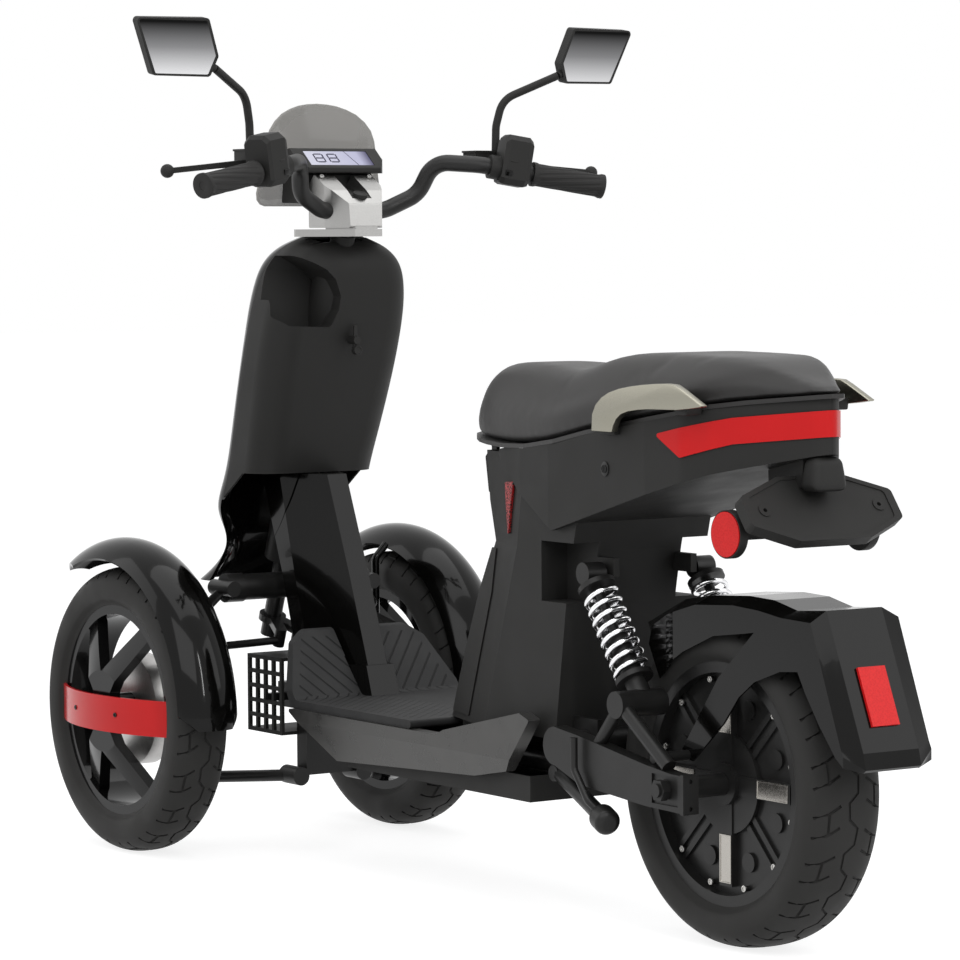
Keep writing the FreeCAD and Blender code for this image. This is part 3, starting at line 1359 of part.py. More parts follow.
def knuckle():
    """Left upright with its stub axle, steering arm and caliper."""
    low = kingpin_point(upright_low_z) + axis_up * (ball_radius / 2)
    top = kingpin_point(upright_top_z)
    centre_y = front_track / 2
    inner_y = centre_y - front_hub_inner_face - fit_gap
    post = rod(low, top, upright_radius)
    axle = rod(vec(wheelbase, kingpin_half_track, wheel_radius),
               vec(wheelbase, centre_y + dish_hub_face - dish_thickness - overrun, wheel_radius), axle_radius)
    shoulder = rod(vec(wheelbase, kingpin_half_track, wheel_radius), vec(wheelbase, inner_y, wheel_radius),
                   axle_radius * 2)
    root = kingpin_point(steer_arm_z)
    pin = root + arm_back * steer_arm_length + vec(0, pitman_half_spacing, 0)
    head = rod(top, root + axis_up * steer_arm_thickness / 2, upright_radius)
    low_step = axis_up * (-steer_arm_thickness / 2)
    eye = rod(pin + low_step, pin - low_step, tie_eye_radius)
    stud = rod(pin + low_step, pin + low_step - axis_up * pin_reach(), tie_pin_radius)
    arm = plank(root, pin, tie_eye_radius, steer_arm_thickness)
    return fused(post, head, axle, shoulder, eye, stud, arm)


def front_fender():
    """The left front fender with the stay to its upright."""
    def section(radius, half_width):
        drop = radius - front_fender_drop
        return vec(0, -half_width, drop), vec(0, 0, radius), vec(0, half_width, drop)
    outer = section(front_fender_radius, front_fender_half_width)
    inner = section(front_fender_radius - front_fender_wall, front_fender_half_width - front_fender_wall)
    wire = Part.Wire([
        Part.Arc(*outer).toShape(),
        Part.makeLine(outer[2], inner[2]),
        Part.Arc(inner[2], inner[1], inner[0]).toShape(),
        Part.makeLine(inner[0], outer[0]),
    ])
    face = Part.Face(wire).rotated(origin, y_axis, front_fender_front_angle)
    sweep = front_fender_front_angle + front_fender_rear_angle
    shell = face.revolve(origin, y_axis, -sweep)
    for turn, length, width in fender_corner_cuts:
        for side in (1, -1):
            edge = side * (front_fender_half_width + overrun)
            inner_y = side * (front_fender_half_width - width)
            heading = math.copysign(1, turn)
            loop = [vec(0, inner_y, 0), vec(0, edge, 0), vec(-heading * length, edge, 0)]
            prism = Part.Face(Part.makePolygon(loop + loop[:1])).extrude(vec(0, 0, front_fender_radius * 2))
            shell = shell.cut(prism.rotated(origin, y_axis, turn))
    shell.translate(vec(wheelbase, front_track / 2 + front_fender_offset, wheel_radius))
    edge_y = front_track / 2 + front_fender_offset - front_fender_half_width
    root = kingpin_point(upright_top_z - upright_radius)
    edge_r = front_fender_radius - front_fender_drop
    edge_z = wheel_radius + math.sqrt(edge_r ** 2 - (root.x - wheelbase) ** 2)
    up_y = kingpin_half_track + upright_radius + 2 * fender_stay_radius
    stay = bent_bar([tuple(root), (root.x, up_y, root.z + upright_radius),
                     (root.x, up_y, edge_z - 3 * fender_stay_radius),
                     (root.x, edge_y + fender_stay_radius / 2, edge_z + fender_stay_radius / 2)],
                    fender_stay_radius, fender_stay_radius * 2)
    post = rod(kingpin_point(0), kingpin_point(wheelbase), upright_radius + fit_gap)
    return fused(shell, stay.cut(post))


def mirror_housing():
    corners = [vec(*p) for p in mirror_corners]
    normal = (corners[1] - corners[0]).cross(corners[3] - corners[0])
    normal.normalize()
    if normal.x < 0:
        normal = normal * -1
    flat = [p - normal * ((p - corners[0]).dot(normal)) for p in corners]
    shell = Part.Face(rounded(flat, rim_lip * 2)).extrude(normal * mirror_depth)
    middle = flat[0]
    for p in flat[1:]:
        middle = middle + p
    middle = middle / len(flat)
    inner = []
    for p in flat:
        step = middle - p
        step.normalize()
        inner.append(p + step * mirror_inset)
    glass = Part.Face(rounded(inner, rim_lip)).extrude(normal * mirror_glass_thickness)
    recess = Part.Face(rounded(inner, rim_lip)).extrude(normal * mirror_glass_thickness)
    stem = bent_bar(mirror_stem, mirror_stem_radius, leg_corner)
    tail = rod(vec(*mirror_stem[-1]), middle + normal * mirror_depth, mirror_stem_radius)
    return fused(shell, stem, tail).cut(recess), glass


def shock_line():
    """The shock's lower eye, its direction upward and its length between the eyes."""
    low = vec(*shock_low)
    along = vec(*shock_top) - low
    length = along.Length
    along.normalize()
    return low, along, length


def shock():
    low, along, length = shock_line()
    top = vec(*shock_top)
    eye_top = rod(top - vec(0, shock_eye_radius, 0), top + vec(0, shock_eye_radius, 0), shock_eye_radius)
    body = rod(low, low + along * length * shock_body_share, shock_body_radius)
    shaft = rod(low, top, shock_rod_radius)
    cup_radius = spring_radius + spring_wire_radius
    cup_low = rod(low + along * (spring_low - shock_cup_thickness), low + along * spring_low, cup_radius)
    cup_top = rod(low + along * spring_top, low + along * (spring_top + shock_cup_thickness), cup_radius)
    barrel = rod(low - vec(0, wheelbase, 0), low + vec(0, wheelbase, 0), arm_boss_radius + fit_gap)
    pin = rod(vec(top.x, slot_inner_y + fit_gap, top.z), vec(top.x, top.y + shock_eye_radius, top.z),
              shock_rod_radius)
    return fused(eye_top, body, shaft, cup_low, cup_top, pin).cut(barrel)


def spring():
    low, along, length = shock_line()
    start = low + along * (spring_low + spring_wire_radius + fit_gap)
    height = spring_top - spring_low - 2 * (spring_wire_radius + fit_gap)
    helix = Part.makeHelix(height / spring_turns, height, spring_radius)
    circle = Part.Wire(Part.makeCircle(spring_wire_radius, vec(spring_radius, 0, 0), y_axis))
    coil = Part.Wire(helix).makePipeShell([circle], True, True)
    coil.Placement = FreeCAD.Placement(start, FreeCAD.Rotation(z_axis, along))
    return coil


def side_stand():
    """Stand leg with its bulb foot and the bent kick tube outside the swingarm."""
    pivot = vec(*stand_pivot)
    tip = vec(*stand_tip)
    along = tip - pivot
    along.normalize()
    leg = rod(pivot, tip, stand_radius)
    foot = rod(tip - along * stand_foot_length / 2, tip + along * stand_foot_length / 2, stand_foot_radius)
    foot = foot.makeFillet(stand_foot_radius / 2, foot.Edges)
    kick = bent_bar(kick_points, kick_radius, kick_radius * 3)
    knuckle_end = rod(pivot - vec(0, stand_radius, 0), pivot + vec(0, stand_radius, 0), stand_radius)
    bore = rod(pivot - vec(0, wheelbase, 0), pivot + vec(0, wheelbase, 0), stand_pin_radius + running_gap)
    return fused(leg, foot, kick, knuckle_end).cut(bore)


def display():
    """Wedge-shaped instrument housing with cut corners and a recess for the screen."""
    body = side_plate(display_outline, -display_half_width, display_half_width, rim_lip)
    body = body.common(plan_plate(display_plan, 0, wheelbase + front_track))
    low, high = vec(*display_outline[1], 0), vec(*display_outline[2], 0)
    slope = math.degrees(math.atan2(high.x - low.x, high.y - low.y))
    middle = (low + high) / 2
    screen = block(-overrun * 2, screen_depth, -screen_half_width, screen_half_width, -screen_height / 2,
                   screen_height / 2)
    screen = screen.rotated(origin, y_axis, slope).translated(vec(middle.x, 0, middle.y))
    return body.cut(screen)


def head_lamp():
    return side_plate(lamp_outline, -lamp_half_width, lamp_half_width, rim_lip)


def visor():
    """Thin curved sheet in front of the lamp, on two posts."""
    lean = vec(-visor_lean, 0, 1)
    foot = vec(visor_foot_x - visor_bend_radius, 0, 0)
    top = foot + lean * wheelbase
    sheet = rod(foot, top, visor_bend_radius).cut(rod(foot, top, visor_bend_radius - visor_thickness))
    loop = [vec(0, y, z) for y, z in visor_outline] + [vec(0, -y, z) for y, z in visor_outline[::-1]]
    face = Part.Face(Part.makePolygon(loop + loop[:1])).translated(vec(wheelbase / 2, 0, 0))
    sheet = sheet.common(face.extrude(vec(wheelbase, 0, 0)))
    inside = rod(foot, top, visor_bend_radius - visor_thickness / 2)
    lamp = side_plate(lamp_outline, -lamp_half_width - fit_gap, lamp_half_width + fit_gap, rim_lip)
    front = max(x for x, z in lamp_outline) + fit_gap
    pieces = [sheet]
    for side in (1, -1):
        post = rod(vec(front - 2 * rim_lip, side * visor_post_y, visor_post_z),
                   vec(wheelbase, side * visor_post_y, visor_post_z),
                   fender_stay_radius)
        pieces.append(post.common(inside).cut(lamp.translated(vec(fit_gap, 0, 0))))
    return fused(*pieces)


# Writing the pieces

def save(name, shape):
    """Move a piece to the common origin and write it."""
    shape = shape.copy()
    shape.translate(vec(-(wheelbase + wheel_radius - rear_overhang) / 2, 0, 0))
    shape.exportStep("parts/" + name + ".step")
    b = shape.BoundBox
    print(name, len(shape.Solids), shape.isValid(), [round(v) for v in (b.XMin, b.XMax, b.YMin, b.YMax, b.ZMin,
                                                                        b.ZMax)])


def place_front(shape):
    return shape.translated(vec(wheelbase, front_track / 2, wheel_radius))


front_tyre = place_front(tyre(front_tyre_half_width, front_rim_half_width))
rim_piece, drum_piece = front_rim()
for side_name, turn in (("left", lambda shape: shape), ("right", mirrored)):
    save("tyre_front_" + side_name, turn(front_tyre))
    save("rim_front_" + side_name, turn(place_front(rim_piece)))
    save("drum_" + side_name, turn(place_front(drum_piece)))
    save("wheel_band_" + side_name, turn(place_front(front_band())))
    save("knuckle_" + side_name, turn(knuckle()))
    save("front_fender_" + side_name, turn(front_fender()))
    save("tie_rod_" + side_name, turn(tie_rod()))

save("tyre_rear", tyre(rear_tyre_half_width, rear_rim_half_width).translated(rear_axle))
save("hub_motor", rear_motor().translated(rear_axle))

save("main_frame", main_frame())
shield_piece, panel_piece = leg_shells()
save("front_shield", shield_piece)
save("leg_panel", panel_piece)
save("column_cover", column_cover())
save("grid_cover", grid_cover())
save("suspension_links", suspension_links())
save("floor_mat", floor_mat())
save("skirts", skirts())
save("belly_tray", belly_tray())
save("battery_box", battery_box())
save("tail_covers", tail_covers())
save("tail_band", tail_band())
save("undertail", undertail())
save("nose_trim", nose_trim())
save("mesh_inserts", mesh_inserts())
save("grab_rails", grab_rails())
save("plate_holder", plate_holder())
save("lamp_cup", lamp_cup())
save("round_reflectors", round_reflectors())
save("swingarm", swingarm())
save("rear_axle", rear_axle_bar())
save("shocks", both_sides(shock()))
save("springs", both_sides(spring()))
save("rear_fender", rear_fender())
save("rear_reflector", rear_reflector())

save("handlebar", handlebar())
save("bar_clamp", bar_clamp())
save("grips", grips())
save("switch_boxes", switch_boxes())
save("brake_levers", brake_levers())
housing, glass = mirror_housing()
save("mirrors", both_sides(housing))
save("mirror_glasses", both_sides(glass))
save("display", display())
save("head_lamp", head_lamp())
save("visor", visor())

save("seat_cushion", seat_cushion())
save("seat_base", seat_base())
save("side_stand", side_stand())
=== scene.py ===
import json
import math

import bpy
from mathutils import Matrix, Vector


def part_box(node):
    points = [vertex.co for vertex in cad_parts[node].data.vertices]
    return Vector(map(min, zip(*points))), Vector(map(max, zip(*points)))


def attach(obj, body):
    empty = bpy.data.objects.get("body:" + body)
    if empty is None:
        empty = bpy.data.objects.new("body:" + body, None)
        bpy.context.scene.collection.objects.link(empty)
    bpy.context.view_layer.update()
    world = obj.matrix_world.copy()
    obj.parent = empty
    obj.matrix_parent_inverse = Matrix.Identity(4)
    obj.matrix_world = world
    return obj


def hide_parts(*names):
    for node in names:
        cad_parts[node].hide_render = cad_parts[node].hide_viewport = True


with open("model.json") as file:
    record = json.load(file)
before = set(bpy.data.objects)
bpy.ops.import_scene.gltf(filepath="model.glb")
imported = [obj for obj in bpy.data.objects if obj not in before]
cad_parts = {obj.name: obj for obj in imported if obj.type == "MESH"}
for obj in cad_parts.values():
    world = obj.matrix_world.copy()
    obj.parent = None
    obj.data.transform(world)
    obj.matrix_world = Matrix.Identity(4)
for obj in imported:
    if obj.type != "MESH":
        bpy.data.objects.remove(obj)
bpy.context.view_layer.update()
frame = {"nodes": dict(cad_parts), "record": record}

MM = 0.001


# Shader maths

class Signal:
    """One output socket of a shader node; Python's operators add Math nodes."""

    def __init__(self, finish, socket):
        self.finish = finish
        self.socket = socket

    def math(self, operation, *others):
        return self.finish.node("ShaderNodeMath", self, *others, operation=operation)

    def __add__(self, other):
        return self.math("ADD", other)

    def __sub__(self, other):
        return self.math("SUBTRACT", other)

    def __rsub__(self, other):
        return self.finish.node("ShaderNodeMath", other, self, operation="SUBTRACT")

    def __mul__(self, other):
        return self.math("MULTIPLY", other)

    def __truediv__(self, other):
        return self.math("DIVIDE", other)

    def __rtruediv__(self, other):
        return self.finish.node("ShaderNodeMath", other, self, operation="DIVIDE")

    def __gt__(self, other):
        return self.math("GREATER_THAN", other)

    def __lt__(self, other):
        return self.math("LESS_THAN", other)

    __radd__ = __add__
    __rmul__ = __mul__


class Finish:
    """A material under construction on one Principled shader."""

    def __init__(self, name, colour, roughness, metallic=0.0, coat=0.0, coat_roughness=0.05, specular=0.5,
                 sheen=0.0):
        self.material = bpy.data.materials.new(name)
        self.material.use_nodes = True
        self.tree = self.material.node_tree
        self.shader = self.tree.nodes["Principled BSDF"]
        self.base = (*colour, 1.0)
        self.put("Base Color", self.base)
        self.put("Roughness", roughness)
        self.put("Metallic", metallic)
        self.put("Coat Weight", coat)
        self.put("Coat Roughness", coat_roughness)
        self.put("Specular IOR Level", specular)
        self.put("Sheen Weight", sheen)

    def node(self, kind, *inputs, output=0, named=None, stops=(), **settings):
        """Add a node, set its settings and stops first, then its inputs; returns one of its outputs."""
        made = self.tree.nodes.new(kind)
        for key, value in settings.items():
            setattr(made, key, value)
        if stops:
            self.grade(made.color_ramp, stops)
        for key, value in list(enumerate(inputs)) + list((named or {}).items()):
            self.feed(made.inputs[key], value)
        return Signal(self, made.outputs[output])

    def grade(self, ramp, stops):
        while len(ramp.elements) < len(stops):
            ramp.elements.new(0.5)
        for element, (place, shade) in zip(ramp.elements, stops):
            element.position = place
            element.color = (shade, shade, shade, 1) if isinstance(shade, float) else (*shade, 1)

    def feed(self, socket, value):
        if isinstance(value, Signal):
            self.tree.links.new(value.socket, socket)
        else:
            socket.default_value = value

    def put(self, socket, value):
        self.feed(self.shader.inputs[socket], value)

    def place(self, scale=(1, 1, 1)):
        point = self.node("ShaderNodeTexCoord", output="Object")
        return self.node("ShaderNodeMapping", point, named={"Scale": scale})

    def axes(self):
        """The three Object coordinates, each as a signal."""
        split = self.node("ShaderNodeSeparateXYZ", self.place()).socket.node
        return [Signal(self, split.outputs[axis]) for axis in "XYZ"]

    def noise(self, size, detail=2.0, rough=0.5, where=None):
        """Noise whose grain is the given size in millimetres."""
        return self.node("ShaderNodeTexNoise", named={
            "Vector": where or self.place(), "Scale": 1 / (size * MM), "Detail": detail, "Roughness": rough})

    def cells(self, size, feature):
        """Cells of the given size in millimetres."""
        return self.node("ShaderNodeTexVoronoi", feature=feature, named={
            "Vector": self.place(), "Scale": 1 / (size * MM)})

    def mix(self, share, low, high):
        """A colour between two colours."""
        return self.node("ShaderNodeMix", data_type="RGBA", output=2, named={0: share, 6: low, 7: high})

    def ramp(self, value, *stops):
        """A value run through (place, shade) stops."""
        return self.node("ShaderNodeValToRGB", value, stops=stops)

    def bump(self, height, depth, strength):
        """Relief of the given depth in millimetres."""
        self.put("Normal", self.node("ShaderNodeBump", named={
            "Height": height, "Distance": depth * MM, "Strength": strength}))

    def tint(self, share, other):
        """Vary the base colour towards another one by a share signal."""
        self.put("Base Color", self.mix(share, self.base, (*other, 1.0)))


# Places on the object that finishes follow, in metres

clamp_foot_z = 0.93
mirror_low_z = 1.163
mirror_high_z = 1.247
screen_half_length = 0.056
mat_wing_foot_z = 0.256
mat_floor_slant = 0.9
mat_floor_pitch = 0.0165
mat_wing_pitch = 0.0235
mat_border_foot_z = 0.264
mat_border_lean = 0.47
mat_half_width = 0.134
mat_top_z = 0.338
mat_rear_x = 0.036


# Finishes

def tyre_rubber():
    f = Finish("tyre rubber", (0.021, 0.0205, 0.0195), 0.66, specular=0.22)
    dust = f.noise(60, 4)
    fine = f.noise(1.2, 3)
    f.tint(f.ramp(dust, (0.42, 0.0), (0.72, 0.55)), (0.030, 0.029, 0.028))
    f.put("Roughness", f.ramp(dust, (0.3, 0.55), (0.7, 0.74)))
    f.bump(fine, 0.12, 0.6)
    return f.material


def gloss_black(name, base):
    f = Finish(name, base, 0.16, coat=0.20, coat_roughness=0.03, specular=0.10)
    f.put("Roughness", f.ramp(f.noise(90, 3), (0.35, 0.10), (0.75, 0.20)))
    f.bump(f.noise(9, 1), 0.02, 0.4)
    return f.material


def grained_plastic(name, base, roughness=0.58, grain=1.1, depth=0.10):
    """Moulded plastic with a fine leather-like grain."""
    f = Finish(name, base, roughness, specular=0.22)
    pebbles = f.cells(grain, "SMOOTH_F1")
    wear = f.noise(70, 4)
    lighter = tuple(c * 1.35 for c in base)
    f.tint(f.ramp(wear, (0.40, 0.0), (0.75, 0.7)), lighter)
    f.put("Roughness", f.ramp(wear, (0.35, roughness - 0.05), (0.75, roughness + 0.08)))
    f.bump(pebbles + f.noise(grain * 0.5, 2) * 0.4, depth, 0.8)
    return f.material


def powder_coat(name, base, roughness=0.40, metallic=0.0, speck=1.6, depth=0.05):
    """Satin paint with a faint orange-peel surface."""
    f = Finish(name, base, roughness, metallic=metallic, specular=0.28)
    peel = f.noise(speck, 2)
    wear = f.noise(45, 3)
    lighter = tuple(c * 1.4 + 0.002 for c in base)
    f.tint(f.ramp(wear, (0.4, 0.0), (0.75, 0.5)), lighter)
    f.put("Roughness", f.ramp(wear, (0.35, roughness - 0.06), (0.75, roughness + 0.08)))
    f.bump(peel, depth, 0.7)
    return f.material


def gloss_red():
    f = Finish("gloss red", (0.60, 0.010, 0.011), 0.22, coat=0.12, coat_roughness=0.04, specular=0.14)
    f.tint(f.ramp(f.noise(120, 2), (0.35, 0.0), (0.8, 0.4)), (0.42, 0.004, 0.006))
    f.bump(f.noise(12, 1), 0.02, 0.4)
    return f.material


def brushed_metal(name, base, roughness, across):
    """Metal with fine parallel brushing, finer along the axes that across stretches."""
    f = Finish(name, base, roughness, metallic=1.0)
    lines = f.noise(3.0, 4, 0.6, where=f.place(across))
    f.put("Roughness", f.ramp(lines, (0.3, roughness - 0.08), (0.7, roughness + 0.12)))
    f.tint(f.ramp(lines, (0.3, 0.0), (0.8, 0.5)), tuple(c * 0.75 for c in base))
    f.bump(lines, 0.015, 0.5)
    return f.material


def clamp_metal():
    """Brushed aluminium over the leg panel, and black paint on the stem and plate below it."""
    f = Finish("clamp aluminium", (0.40, 0.396, 0.388), 0.28)
    height = f.axes()[2]
    bright = height > clamp_foot_z
    lines = f.noise(3.0, 4, 0.6, where=f.place((25, 1, 25)))
    worn = f.mix(f.ramp(lines, (0.3, 0.0), (0.8, 0.5)), f.base, (0.30, 0.297, 0.29, 1))
    f.put("Base Color", f.mix(bright, (0.010, 0.0098, 0.0095, 1), worn))
    f.put("Metallic", bright)
    f.put("Roughness", f.ramp(lines, (0.3, 0.20), (0.7, 0.40)))
    f.bump(lines, 0.015, 0.5)
    return f.material


def turned_steel():
    """Brake drum steel with rings left by the lathe."""
    f = Finish("turned drum steel", (0.55, 0.54, 0.53), 0.30, metallic=1.0)
    lines = f.noise(1.1, 3, 0.6, where=f.place((1, 22, 1)))
    f.put("Roughness", f.ramp(lines, (0.3, 0.22), (0.7, 0.42)))
    f.tint(f.ramp(f.noise(30, 3), (0.4, 0.0), (0.8, 0.6)), (0.34, 0.33, 0.32))
    f.bump(lines, 0.02, 0.5)
    return f.material


def chrome():
    f = Finish("spring chrome", (0.78, 0.78, 0.79), 0.08, metallic=1.0)
    f.put("Roughness", f.ramp(f.noise(14, 3), (0.4, 0.05), (0.8, 0.16)))
    f.tint(f.ramp(f.noise(25, 2), (0.4, 0.0), (0.8, 0.3)), (0.62, 0.62, 0.64))
    return f.material


def seat_vinyl():
    f = Finish("seat vinyl", (0.019, 0.018, 0.0175), 0.48, specular=0.32, sheen=0.03)
    pores = f.cells(0.9, "SMOOTH_F1")
    creases = f.cells(3.2, "DISTANCE_TO_EDGE")
    wear = f.noise(110, 4)
    f.tint(f.ramp(wear, (0.38, 0.0), (0.75, 0.8)), (0.027, 0.026, 0.025))
    f.put("Roughness", f.ramp(wear, (0.35, 0.42), (0.75, 0.54)))
    relief = pores * 0.5 + f.ramp(creases, (0.0, 0.0), (0.12, 1.0)) * 0.5
    f.bump(relief, 0.12, 0.7)
    return f.material


def mat_rubber():
    """Floor mat: slanted grooves on the floor and both wings, inside a plain border, with painted shade in the
    grooves.
    """
    f = Finish("floor rubber", (0.021, 0.021, 0.0212), 0.62, specular=0.25)
    x, y, z = f.axes()
    side = y.math("ABSOLUTE")
    on_wing = z > mat_wing_foot_z
    floor_wave = ((side * mat_floor_slant + x) / mat_floor_pitch).math("PINGPONG", 0.5)
    wing_wave = ((side - z) / mat_wing_pitch).math("PINGPONG", 0.5)
    wave = wing_wave * on_wing + floor_wave * (1 - on_wing)
    border = side + ((z - mat_border_foot_z) * mat_border_lean).math("MAXIMUM", 0.0)
    inside = (border < mat_half_width) * (z < mat_top_z) * (x > mat_rear_x)
    groove = f.ramp(wave, (0.045, 1.0), (0.10, 0.0)) * inside
    dust = f.noise(50, 4)
    worn = f.mix(f.ramp(dust, (0.4, 0.0), (0.75, 0.6)), f.base, (0.034, 0.034, 0.034, 1))
    # Painted shade: the grooves are coloured near-black.
    f.put("Base Color", f.mix(groove, worn, (0.005, 0.005, 0.005, 1)))
    f.bump(f.noise(0.9, 2) * 0.05 - groove, 1.8, 0.8)
    return f.material


def screen_lit():
    """Pale backlit screen, dark along its right edge."""
    f = Finish("lit screen", (0.42, 0.42, 0.50), 0.20, specular=0.15)
    y = f.axes()[1]
    edge = f.ramp((y + screen_half_length) / (2 * screen_half_length),
                  (0.0, (0.03, 0.025, 0.08)), (0.18, (0.34, 0.34, 0.46)), (1.0, (0.46, 0.46, 0.54)))
    f.put("Base Color", edge)
    f.put("Emission Color", edge)
    f.put("Emission Strength", 0.12)
    return f.material


def screen_ink():
    f = Finish("screen ink", (0.012, 0.009, 0.035), 0.3, specular=0.1)
    f.put("Roughness", f.ramp(f.noise(6, 2), (0.3, 0.16), (0.8, 0.24)))
    return f.material


def red_mesh():
    """Perforated red trim: a red web over openings with painted shade in them."""
    f = Finish("red mesh", (0.42, 0.010, 0.012), 0.30, specular=0.5)
    web = f.ramp(f.cells(4.2, "DISTANCE_TO_EDGE"), (0.10, 1.0), (0.20, 0.0))
    # Painted shade: the openings are coloured near-black.
    f.put("Base Color", f.mix(web, (0.012, 0.006, 0.006, 1), f.base))
    f.put("Roughness", f.ramp(web, (0.0, 0.7), (1.0, 0.28)))
    f.bump(web, 1.2, 0.9)
    return f.material


def mirror_glass():
    """Mirror glass with a painted reflection: dark along its upper edge and pale below."""
    f = Finish("tinted mirror glass", (0.8, 0.8, 0.8), 0.05, metallic=1.0)
    height = f.axes()[2]
    share = (height - mirror_low_z) / (mirror_high_z - mirror_low_z)
    # Painted reflection: the base colour runs from pale at the bottom to dark at the top.
    f.put("Base Color", f.ramp(
        share, (0.05, (0.66, 0.66, 0.67)), (0.5, (0.22, 0.22, 0.225)), (0.92, (0.008, 0.008, 0.008))))
    return f.material


def smoked_sheet():
    f = Finish("smoked visor sheet", (0.20, 0.19, 0.17), 0.06, specular=0.35)
    f.put("Alpha", 0.64)
    f.put("Roughness", f.ramp(f.noise(60, 2), (0.3, 0.03), (0.8, 0.09)))
    f.tint(f.ramp(f.noise(200, 2), (0.3, 0.0), (0.8, 0.6)), (0.27, 0.255, 0.235))
    return f.material


def red_lens():
    """Reflector: clear red cover over small prisms."""
    f = Finish("red reflector lens", (0.58, 0.008, 0.009), 0.24, coat=0.10, coat_roughness=0.04,
               specular=0.12)
    prisms = f.cells(2.6, "F1")
    f.tint(f.ramp(prisms, (0.1, 0.0), (0.7, 0.6)), (0.75, 0.02, 0.02))
    f.bump(prisms, 0.25, 0.35)
    return f.material


FINISHES = {
    "tyre": tyre_rubber(),
    "gloss_black_rim": gloss_black("gloss black rim paint", (0.005, 0.005, 0.005)),
    "brushed_steel_drum": turned_steel(),
    "gloss_red": gloss_red(),
    "black_steel": powder_coat("black frame paint", (0.010, 0.0098, 0.0095)),
    "motor_black": powder_coat("motor cover paint", (0.010, 0.0098, 0.0095), roughness=0.36),
    "gloss_black": gloss_black("gloss black body", (0.0022, 0.0021, 0.0019)),
    "matte_black": grained_plastic("matte black moulding", (0.0145, 0.0142, 0.0135)),
    "mat_rubber": mat_rubber(),
    "grip_rubber": grained_plastic("grip rubber", (0.018, 0.0175, 0.017), roughness=0.60, grain=0.7,
                                   depth=0.06),
    "dark_silver": powder_coat("dark silver paint", (0.066, 0.065, 0.063), roughness=0.30, metallic=0.6,
                               speck=0.6, depth=0.02),
    "champagne": brushed_metal("champagne metal", (0.30, 0.288, 0.238), 0.30, (1, 20, 20)),
    "red_lens": red_lens(),
    "spring_chrome": chrome(),
    "clamp_silver": clamp_metal(),
    "mirror_glass": mirror_glass(),
    "smoked_visor": smoked_sheet(),
    "seat_vinyl": seat_vinyl(),
}


def finish_nodes():
    """Give every carried-over node its finish, by the record's material slots."""
    slots = {entry["node"]: entry["material_slot"] for entry in frame["record"]["subparts"]}
    for name, node in frame["nodes"].items():
        node.data.materials.clear()
        node.data.materials.append(FINISHES[slots[name]])


finish_nodes()
frame["nodes"]["mesh_inserts"].data.materials[0] = red_mesh()
frame["nodes"]["seat_base"].data.materials[0] = FINISHES["seat_vinyl"]
LIT_SCREEN = screen_lit()
SCREEN_INK = screen_ink()


# Modelling helpers

facing = 0.9
height_error = 1e-5
up = Vector((0, 0, 1))
leftwards = Vector((0, 1, 0))


def corners(box):
    """The low and the high corner of a box."""
    return [Vector(corner) for corner in box]


rear_low, rear_high = corners(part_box("tyre_rear"))
rear_axle = (rear_low + rear_high) / 2
wheel_radius = (rear_high.z - rear_low.z) / 2


def at(x, y, z):
    """A point given in millimetres ahead of the rear axle, left of the middle and over the ground."""
    return Vector((rear_axle.x + x * MM, y * MM, z * MM))


def aimed(place, direction, upright=up):
    """Where a shape modelled along Z goes when it points in a direction, with its Y upright."""
    z = Vector(direction).normalized()
    x = Vector(upright).cross(z).normalized()
    return Matrix.Translation(place) @ Matrix((x, z.cross(x), z)).transposed().to_4x4()


def activate(piece):
    if bpy.context.object and bpy.context.object.mode != "OBJECT":
        bpy.ops.object.mode_set(mode="OBJECT")
    bpy.ops.object.select_all(action="DESELECT")
    piece.select_set(True)
    bpy.context.view_layer.objects.active = piece


def fresh(name, add, **settings):
    """A new primitive, alone in the selection, under its own name."""
    bpy.ops.object.select_all(action="DESELECT")
    add(**settings)
    piece = bpy.context.object
    piece.name = piece.data.name = name
    return piece


def settle(piece, where=Matrix()):
    """Move a finished shape to its place and leave its object at the origin."""
    piece.matrix_world = where @ piece.matrix_basis
    activate(piece)
    bpy.ops.object.transform_apply(location=True, rotation=True, scale=True)
    return piece


def edit(piece, test=None, kind="FACE"):
    """Enter edit mode with only the faces, or edges, that pass the test selected."""
    activate(piece)
    bpy.ops.object.mode_set(mode="EDIT")
    bpy.ops.mesh.select_mode(type=kind)
    bpy.ops.mesh.select_all(action="SELECT" if test is None else "DESELECT")
    if test is None:
        return
    bpy.ops.object.mode_set(mode="OBJECT")
    mesh = piece.data
    if kind == "FACE":
        for face in mesh.polygons:
            face.select = test(face)
    else:
        for edge in mesh.edges:
            edge.select = test(*(mesh.vertices[i].co for i in edge.vertices))
    bpy.ops.object.mode_set(mode="EDIT")


def done():
    bpy.ops.object.mode_set(mode="OBJECT")


def modified(piece, kind, **settings):
    """Add a modifier, set it and apply it."""
    activate(piece)
    change = piece.modifiers.new(kind.lower(), kind)
    for key, value in settings.items():
        setattr(change, key, value)
    bpy.ops.object.modifier_apply(modifier=change.name)


def smoothed(piece, degrees=35):
    activate(piece)
    bpy.ops.object.shade_smooth_by_angle(angle=math.radians(degrees))
    return piece


def softened(piece, width, segments=2):
    """Round every edge of a piece by a width in millimetres."""
    modified(piece, "BEVEL", width=width * MM, segments=segments, limit_method="ANGLE")
    return smoothed(piece)


def outward(piece):
    edit(piece)
    bpy.ops.mesh.normals_make_consistent(inside=False)
    done()
    return piece


def copied(piece, name):
    double = piece.copy()
    double.data = piece.data.copy()
    double.name = double.data.name = name
    bpy.context.scene.collection.objects.link(double)
    return double


def mirror_copy(piece, name):
    """The same piece on the vehicle's other side, with its faces turned out again."""
    return outward(settle(copied(piece, name), Matrix.Diagonal((1, -1, 1, 1))))


